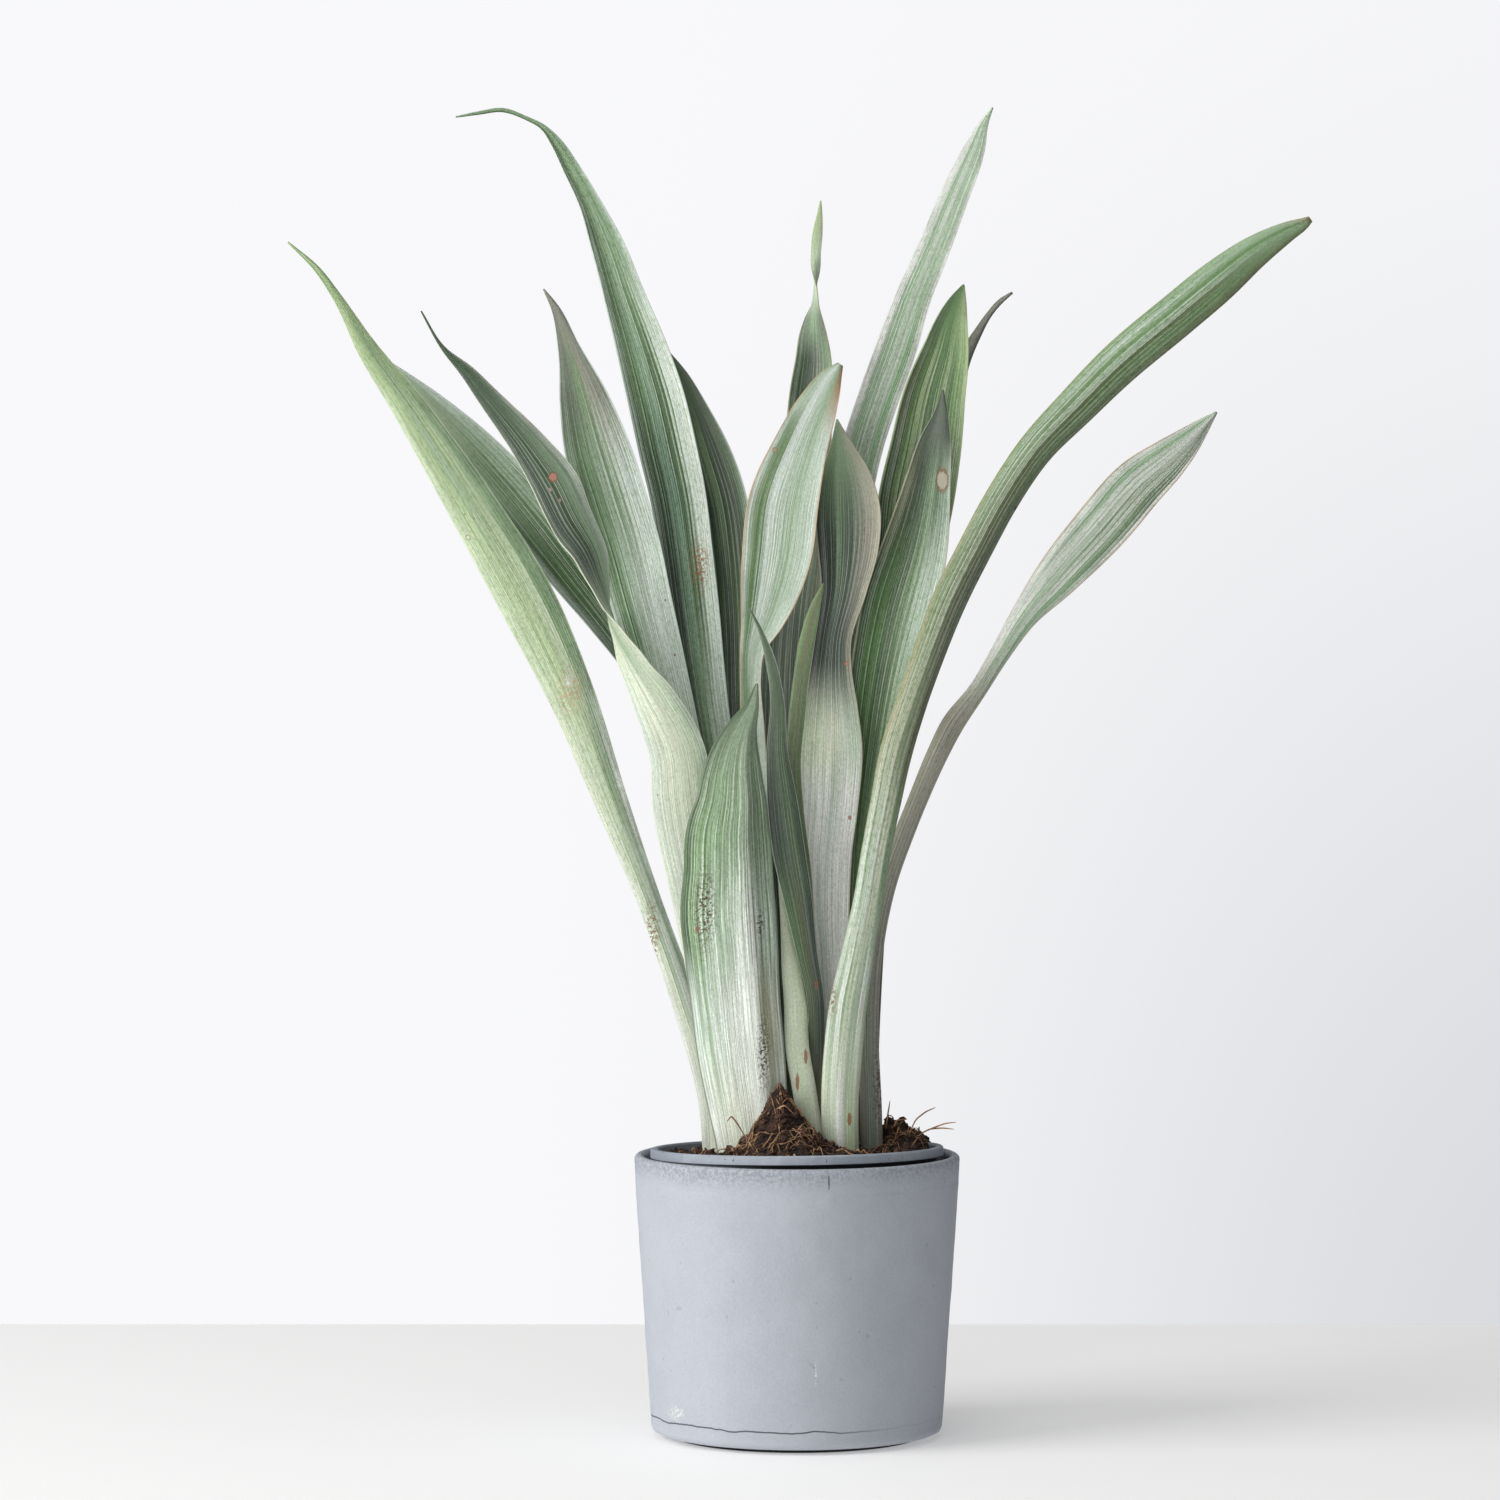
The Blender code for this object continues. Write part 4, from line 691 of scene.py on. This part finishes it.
def leaf(name, index):
    """A closed leaf: its face and back are thick in the middle and thin at the margins."""
    stations = LEAVES[name]
    middle = np.array([station[:3] for station in stations])
    length = sum(np.linalg.norm(np.diff(middle, axis=0), axis=1))
    count = max(40, round(length * CM / LEAF_STEP))
    rows, at = leaf_rows(stations, count)
    side, face = leaf_frame(rows)
    width = np.maximum(rows[:, 3], NARROWEST)
    cup = np.radians(rows[:, 4])
    bend = np.where(np.abs(cup) < 0.01, 0.01, cup)
    thick = LEAF_THICK / CM * (LEAF_TIP + (1 - LEAF_TIP) * np.minimum(1, width / LEAF_FULL))
    us = np.sin(np.linspace(-pi / 2, pi / 2, LEAF_ACROSS + 1))
    ring = [(u, 1) for u in us] + [(u, -1) for u in us[::-1]]
    points = np.zeros((count, len(ring), 3))
    flat = np.zeros((count, len(ring), 2))
    for j, (u, facing) in enumerate(ring):
        off = width / 2 * np.sin(bend * u) / np.sin(bend)
        lift = width / 2 * (1 - np.cos(bend * u)) / np.sin(bend) + crease(name, u, width)
        wave = np.sin(at * 1.7 + index * 2.1 + u) + 0.6 * np.sin(at * 3.3 + index + 2.2 * u)
        lift += RIPPLE / CM * wave * abs(u) ** 3 * np.minimum(1, width / 2)
        out = np.cos(bend * u)[:, None] * face - np.sin(bend * u)[:, None] * side
        half = thick / 2 * (LEAF_MARGIN + (1 - LEAF_MARGIN) * (1 - abs(u) ** 2.2))
        points[:, j] = rows[:, :3] + side * off[:, None] + face * lift[:, None] \
            + out * (facing * half)[:, None]
        flat[:, j, 0] = u * width / 2 + index * 7
        flat[:, j, 1] = at
    size = len(ring)
    faces = ring_faces(count, size)
    faces += [tuple(range(size))[::-1], tuple(range((count - 1) * size, count * size))]
    made = new_mesh(name + "_leaf", points.reshape(-1, 3) * CM, faces)
    spread = np.tile([(u + 1) / 2 for u, _ in ring], count)
    along = np.repeat(at / at[-1], size)
    add_uv(made.data, "across", np.stack([spread, along], 1))
    add_uv(made.data, "flat", flat.reshape(-1, 2) * CM)
    dress(made, leaf_material(name), name)


def crease(name, u, width):
    """Folds that a plain arc doesn't give: a ridge on one leaf and ribs on another."""
    if name == "leaf_front_folded":
        return width * 0.07 * max(0.0, 1 - abs(u - 0.42) / 0.3)
    if name == "leaf_right_arching":
        return width * 0.012 * (cos(9 * u) + 0.6 * cos(17 * u))
    return width * 0.004 * cos(8 * u)


def add_uv(mesh, name, values):
    corners = np.zeros(len(mesh.loops), int)
    mesh.loops.foreach_get("vertex_index", corners)
    layer = mesh.uv_layers.new(name=name)
    layer.data.foreach_set("uv", values[corners].astype(np.float32).ravel())


# Outer pot

def fractal(x, y, z, octaves):
    return noise.fractal(Vector((x, y, z)), 1.0, 2.0, octaves)


def pot_profile():
    """Radius and height pairs of the outer pot: up its inside, over its rim and down its outside."""
    low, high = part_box("cachepot")
    top, base, r_top = high[2], low[2], high[0]
    r_base = r_top - POT_TAPER
    half = POT_WALL / 2
    inside = [(0.001, POT_FLOOR), (0.03, POT_FLOOR), (0.0605, POT_FLOOR), (0.0645, 0.016)]
    inside += [(r_top - POT_WALL - POT_TAPER * (1 - t), base + (top - base) * t)
               for t in (0.3, 0.6, 0.9)]
    rim = [(r_top - half - half * cos(a), top - half + half * sin(a))
           for a in np.linspace(0.0, pi, 15)]
    share = np.linspace(0, 1, POT_RINGS)[1:]
    wall = [(r_top - POT_TAPER * t, top - half + (base + POT_CHAMFER - top + half) * t)
            for t in share]
    under = [(r_base - POT_CHAMFER * 0.3, base + 0.0009), (r_base - POT_CHAMFER, base), (0.001, base)]
    return inside + rim + wall + under


def pot_relief(turn, r, z, top):
    """How far the concrete stands in or out of its plain surface."""
    x, y = r * cos(turn), r * sin(turn)
    out = 0.00022 * fractal(x * 60, y * 60, z * 60, 3)
    below = top - z
    edge = ROUGH_BAND + 0.0008 * noise.noise(Vector((x * 40, y * 40, 3.0)))
    if below < edge:
        out += 0.00016 * fractal(x * 900, y * 900, z * 900, 2)
        out -= 0.00012 * min(1.0, (edge - below) / 0.0012)
    for degrees, height, radius in PITS:
        a = radians(degrees) - pi / 2
        away = Vector((x - r * cos(a), y - r * sin(a), z - height)).length
        out -= 0.0006 * max(0.0, 1 - (away / radius) ** 2)
    return out


def turned(name, profile, steps, relief):
    """A profile turned about the axis, with relief added to its radius."""
    points = []
    for r, z in profile:
        for j in range(steps):
            turn = 2 * pi * j / steps
            grown = r + relief(turn, r, z)
            points.append((grown * cos(turn), grown * sin(turn), z))
    faces = ring_faces(len(profile), steps, flip=True)
    last = (len(profile) - 1) * steps
    faces += [tuple(range(steps)), tuple(range(last, last + steps))[::-1]]
    return new_mesh(name, points, faces)


def concrete():
    """Clouded and grainy, with a stippled rim, a pale foot, a crack and a few marks."""
    n = material_nodes("concrete")
    place = n.place()
    z = n.part(place, 2)
    cloud = n.noise(place, 28, detail=5, rough=0.6)
    grain = n.noise(place, 900, detail=3, rough=0.7)
    colour = n.mix(n.step(cloud, 0.35, 0.65), (0.405, 0.432, 0.482, 1), (0.43, 0.457, 0.508, 1))
    colour = n.shade(colour, n.step(grain, 0.25, 0.75, 0.93, 1.05))
    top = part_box("cachepot")[1][2]
    band = n.step(n.math("ADD", z, n.times(cloud, 0.012)), top - 0.006, top + 0.004)
    stipple = n.noise(place, 620, detail=4, rough=0.8)
    colour = n.mix(n.times(band, n.step(stipple, 0.46, 0.54, 0.0, 0.8)), colour,
                   (0.26, 0.285, 0.325, 1))
    dark = n.noise(place, 190, detail=2)
    colour = n.mix(n.step(dark, 0.70, 0.76, 0.0, 0.5), colour, (0.25, 0.27, 0.30, 1))
    foot = n.step(n.math("ADD", z, n.times(cloud, 0.004)), 0.004, 0.0095, 0.35, 0.0)
    colour = n.mix(foot, colour, (0.56, 0.59, 0.63, 1))
    x = n.part(place, 0)
    wander = n.times(n.noise(n.scaled(place, 55, 55, 0), detail=4), 0.0042)
    away = n.math("ABSOLUTE", n.math("SUBTRACT", z, n.math("ADD", wander, SEAM_HEIGHT)))
    seam = n.times(n.step(away, 0.0002, 0.0005, 1, 0), n.step(x, 0.005, 0.05, 0.85, 0.1))
    colour = n.mix(seam, colour, linear("soot"))
    for mark in POT_MARKS:
        colour = leaf_mark(n, colour, x, z, grain, *mark)
    normal = n.bump(grain, 0.30, 0.0006)
    normal = n.bump(n.times(band, stipple), 0.6, 0.0010, normal)
    return n.finish(colour, n.step(grain, 0.3, 0.7, 0.72, 0.88), normal)


def outer_pot():
    low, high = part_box("cachepot")

    def relief(turn, r, z):
        return pot_relief(turn, r, z, high[2]) if r > 0.066 and z > low[2] else 0.0

    made = turned("outer_pot", pot_profile()[::-1], POT_STEPS, relief)
    dress(made, concrete(), "cachepot")


def nursery_plastic():
    """Dusty plastic, with a painted shadow that makes it nearly black under the lip."""
    n = material_nodes("nursery_plastic")
    place = n.place()
    dust = n.noise(place, 70, detail=6, rough=0.7)
    scratch = n.noise(n.scaled(place, 120, 120, 1400), detail=2)
    colour = n.mix(n.step(dust, 0.48, 0.66), (0.30, 0.335, 0.39, 1), (0.37, 0.40, 0.45, 1))
    crumbs = n.noise(place, 420, detail=3, rough=0.6)
    colour = n.mix(n.step(crumbs, 0.66, 0.70, 0.0, 0.8), colour, linear("bark"))
    away = n.part(place, 2)
    away = n.math("SUBTRACT", away, n.times(n.part(place, 0), TILT_RIGHT))
    away = n.math("ADD", away, n.times(n.part(place, 1), TILT_FRONT))
    # Painted shadow: nearly black just under the lip, fading out towards the lit left side.
    lip_shadow = n.step(away, LIP_UNDER - 0.0008, LIP_UNDER, 1.0, 0.0)
    lip_shadow = n.times(lip_shadow, n.step(n.part(place, 0), -0.060, -0.010))
    colour = n.mix(lip_shadow, colour, (0.012, 0.014, 0.018, 1))
    return n.finish(colour, n.step(dust, 0.4, 0.7, 0.38, 0.6), n.bump(scratch, 0.15, 0.0003))


def foot_rubber():
    # Near black all over, with a fine grain.
    n = material_nodes("foot_rubber")
    grain = n.noise(n.place(), 800, detail=2)
    colour = n.mix(grain, (0.012, 0.012, 0.012, 1), (0.03, 0.03, 0.03, 1))
    return n.finish(colour, 0.85, n.bump(grain, 0.3, 0.0004))


# Soil

def soil_plane(x, y):
    """The level of the soil without its heaps, as far from the tilted rim everywhere."""
    return SOIL_LEVEL + TILT_RIGHT * x - TILT_FRONT * y


def soil_height(x, y):
    height = soil_plane(x, y)
    for cx, cy, tall, reach_x, reach_y in SOIL_HEAPS:
        apart = ((x - cx) / reach_x) ** 2 + ((y - cy) / reach_y) ** 2
        height += tall / (1.0 + apart) ** 2
    height += 0.0025 * fractal(x * 90, y * 90, 1.0, 3)
    return height + 0.0019 * fractal(x * 330, y * 330, 5.0, 3)


def soil_radius():
    low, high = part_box("soil")
    return (high[0] - low[0]) / 2 - 0.0003


def soil_body():
    """A disc moved up and down as the soil lies, closed below by a smaller foot."""
    radius = soil_radius()
    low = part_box("soil")[0][2]
    points = [(0.0, 0.0, soil_height(0.0, 0.0))]
    for i in range(1, SOIL_RINGS + 1):
        r = radius * i / SOIL_RINGS
        for j in range(SOIL_STEPS):
            turn = 2 * pi * j / SOIL_STEPS
            x, y = r * cos(turn), r * sin(turn)
            edge = min(1.0, (SOIL_RINGS - i) / 6)
            plain = soil_plane(x, y) - 0.001
            points.append((x, y, plain + edge * (soil_height(x, y) - plain)))
    foot = len(points)
    for j in range(SOIL_STEPS):
        turn = 2 * pi * j / SOIL_STEPS
        points.append((SOIL_FOOT[0] + SOIL_FOOT_RADIUS * cos(turn),
                       SOIL_FOOT[1] + SOIL_FOOT_RADIUS * sin(turn), low + 0.001))
    faces = [(0, 1 + j, 1 + (j + 1) % SOIL_STEPS) for j in range(SOIL_STEPS)]
    faces += ring_faces(SOIL_RINGS + 1, SOIL_STEPS, first=1, flip=True)
    faces.append(tuple(range(foot, foot + SOIL_STEPS))[::-1])
    return new_mesh("soil_body", points, faces)


def soil_material(name, dark, light, fleck):
    n = material_nodes(name)
    place = n.place()
    clump = n.noise(place, 150, detail=6, rough=0.75)
    grain = n.noise(place, 700, detail=3, rough=0.7)
    colour = n.mix(n.step(clump, 0.40, 0.66), linear(dark), linear(light))
    colour = n.mix(n.step(grain, 0.60, 0.70, 0.0, 0.7), colour, linear(fleck))
    colour = n.shade(colour, n.step(clump, 0.3, 0.6, 0.55, 1.1))
    return n.finish(colour, 0.92, n.bump(grain, 0.9, 0.0015))


def scattered(count, rng, near=0.35):
    """Places on the soil, some of them gathered on its two heaps."""
    radius = soil_radius() - 0.002
    places = []
    while len(places) < count:
        if rng.random() < near:
            cx, cy = ((-0.0085, -0.036), (0.049, 0.001))[int(rng.random() < 0.4)]
            x, y = rng.normal(cx, 0.013), rng.normal(cy, 0.011)
        else:
            x, y = rng.uniform(-radius, radius, 2)
        if x * x + y * y < radius * radius:
            places.append((x, y))
    return places


def chunks(name, count, small, large, flatness, seed):
    """Many little irregular lumps lying in the soil, as one mesh."""
    rng = np.random.default_rng(seed)
    blank = bmesh.new()
    bmesh.ops.create_icosphere(blank, subdivisions=1, radius=1.0)
    shape = np.array([v.co[:] for v in blank.verts])
    sides = [tuple(v.index for v in f.verts) for f in blank.faces]
    blank.free()
    points, faces = [], []
    for x, y in scattered(count, rng):
        size = rng.uniform(small, large) * (0.6 + 0.8 * rng.random() ** 3)
        stretch = np.array([1.0, rng.uniform(0.4, 0.8), rng.uniform(flatness, 0.7)])
        turn, tip = rng.uniform(0, 2 * pi), rng.uniform(-0.7, 0.7)
        lump = shape * (1 + rng.uniform(-0.28, 0.28, (len(shape), 1))) * stretch * size
        lump = lump @ np.array([[cos(tip), 0, -sin(tip)], [0, 1, 0], [sin(tip), 0, cos(tip)]])
        lump = lump @ np.array([[cos(turn), sin(turn), 0], [-sin(turn), cos(turn), 0], [0, 0, 1]])
        start = len(points)
        points.extend(lump + (x, y, soil_height(x, y) + size * 0.15))
        faces.extend(tuple(start + i for i in side) for side in sides)
    return new_mesh(name, points, faces, smooth=False)


def tube(points, radius, sides=5):
    """Rings of a thin tube along points, tapered at its ends."""
    line = np.array(points)
    ahead = unit(np.gradient(line, axis=0))
    across = unit(np.cross(ahead, (0.31, 0.17, 0.93)))
    up = np.cross(across, ahead)
    taper = radius * np.sqrt(np.clip(np.sin(np.linspace(0.25, pi - 0.15, len(line))), 0.1, 1))[:, None]
    turns = [2 * pi * k / sides for k in range(sides)]
    rings = [line + taper * (cos(a) * across + sin(a) * up) for a in turns]
    vertices = np.stack(rings, 1).reshape(-1, 3)
    faces = ring_faces(len(line), sides)
    faces += [tuple(range(sides))[::-1], tuple(range((len(line) - 1) * sides, len(line) * sides))]
    return vertices, faces


def strands(name, lines):
    """Several tubes as one mesh. Each line is its points and its radius."""
    points, faces = [], []
    for line, radius in lines:
        vertices, sides = tube(line, radius)
        faces.extend(tuple(len(points) + i for i in side) for side in sides)
        points.extend(vertices)
    return new_mesh(name, points, faces)


def smooth_line(points, count=14):
    """A line through centimetre points, as metres."""
    rows = np.array(points, float) * CM
    at, fine = np.linspace(0, 1, len(rows)), np.linspace(0, 1, count)
    line = np.stack([np.interp(fine, at, rows[:, k]) for k in range(3)], 1)
    line[1:-1] = (line[:-2] + line[1:-1] * 2 + line[2:]) / 4
    return line


def loose_fibres():
    """Thin curled lines that lie on the soil, each with its radius."""
    rng = np.random.default_rng(41)
    lines = []
    for x, y in scattered(FIBRE_COUNT, rng, near=0.6):
        turn, curl = rng.uniform(0, 2 * pi), rng.uniform(-90, 90)
        length, rise = rng.uniform(0.006, 0.020), rng.uniform(0.0, 0.0035)
        line = []
        for t in np.linspace(0, 1, 9):
            line.append((x, y, soil_height(x, y) + 0.0003 + rise * sin(pi * t)))
            x, y = x + cos(turn) * length / 9, y + sin(turn) * length / 9
            turn += curl * length / 9
        lines.append((line, rng.uniform(0.00015, 0.00038)))
    inside = soil_radius() - 0.001
    return [line for line in lines if max(x * x + y * y for x, y, _ in line[0]) < inside ** 2]


def soil_and_roots():
    body = soil_body()
    dress(body, soil_material("soil_dark", "soil_dark", "soil_brown", "soil_red"), "soil")
    bark = chunks("soil_bark", BARK_COUNT, 0.0009, 0.0028, 0.25, 11)
    dress(bark, soil_material("bark", "soil_brown", "soil_red", "soil_tan"))
    crumbs = chunks("soil_crumbs", CRUMB_COUNT, 0.0004, 0.0011, 0.5, 12)
    dress(crumbs, soil_material("crumbs", "soil_dark", "soil_red", "soil_tan"))
    fibres = strands("soil_fibres", loose_fibres())
    dress(fibres, soil_material("fibres", "soil_root", "soil_tan", "tan"))
    roots = strands("root_fibres", [(smooth_line(points), 0.0004) for points in ROOTS])
    dress(roots, soil_material("roots", "soil_root", "soil_tan", "soil_red"))


# Stage, light and camera

def stage():
    """A pale table with a softened edge, which glows a little: painted light that lifts the shadows on
    it.
    """
    wide, deep, thick = FLOOR_SIZE
    work = bmesh.new()
    bmesh.ops.create_cube(work, size=1.0)
    mesh = bpy.data.meshes.new("floor")
    for vertex in work.verts:
        vertex.co.x *= wide
        vertex.co.y = FLOOR_BACK - deep / 2 + vertex.co.y * deep
        vertex.co.z = vertex.co.z * thick - thick / 2
    edges = [e for e in work.edges if all(v.co.z > -0.001 for v in e.verts)]
    bmesh.ops.bevel(work, geom=edges, offset=0.002, segments=3, affect="EDGES")
    work.to_mesh(mesh)
    work.free()
    floor = new_object("floor", mesh)
    n = material_nodes("floor")
    # The glow is painted light, which lifts the shadows on the table.
    mesh.materials.append(n.finish((0.70, 0.70, 0.70, 1), 0.7, Emission_Color=(1, 1, 1, 1),
                                   Emission_Strength=FLOOR_GLOW))


def backdrop():
    """A near-white surround with a painted shadow low on the right, that lights more softly than it
    shows.
    """
    world = bpy.data.worlds.new("studio")
    bpy.context.scene.world = world
    n = Nodes(world)
    ahead = n.add("ShaderNodeTexCoord", {}, "Generated")
    # Painted shadow: the surround is shown darker low on the right, as a shadow on the wall behind.
    right = n.step(n.part(ahead, 0), -0.05, 0.16)
    low = n.step(n.part(ahead, 2), -0.15, 0.12, 0.95, 0.12)
    seen = n.mix(n.times(right, low), (0.945, 0.945, 0.965, 1), (0.66, 0.675, 0.70, 1))
    shown = n.tree.nodes["Background"]
    n.fill(shown, {0: seen})
    fill = n.add("ShaderNodeBackground", {0: (0.97, 0.98, 1.0, 1), 1: FILL})
    sight = n.add("ShaderNodeLightPath", {}, "Is Camera Ray")
    mixed = n.add("ShaderNodeMixShader", {0: sight, 1: fill, 2: shown.outputs[0]})
    n.fill(n.tree.nodes["World Output"], {0: mixed})


def lights():
    for name, place, size, power, colour in LAMPS:
        lamp = bpy.data.lights.new(name, "AREA")
        lamp.size = size
        lamp.energy = power
        lamp.color = colour
        made = new_object(name, lamp)
        made.location = place
        aim = LAMPS_AIM - made.location
        made.rotation_euler = aim.to_track_quat("-Z", "Y").to_euler()


def camera():
    lens = bpy.data.cameras.new("camera")
    lens.lens = CAMERA_LENS
    lens.sensor_width = 36.0
    made = new_object("camera", lens)
    made.location = CAMERA_AT
    made.rotation_euler = (pi / 2 - CAMERA_PITCH, 0.0, 0.0)
    bpy.context.scene.camera = made


def carry_over(node, finish):
    """A CAD node that stays gets its real material."""
    item = bpy.data.objects[node]
    item.data.materials.clear()
    item.data.materials.append(finish)


def main():
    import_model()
    bpy.context.scene.view_settings.view_transform = "Standard"
    camera()
    lights()
    backdrop()
    stage()
    outer_pot()
    carry_over("nursery_pot", nursery_plastic())
    carry_over("foot_pad", foot_rubber())
    soil_and_roots()
    for index, name in enumerate(LEAVES):
        leaf(name, index)


main()
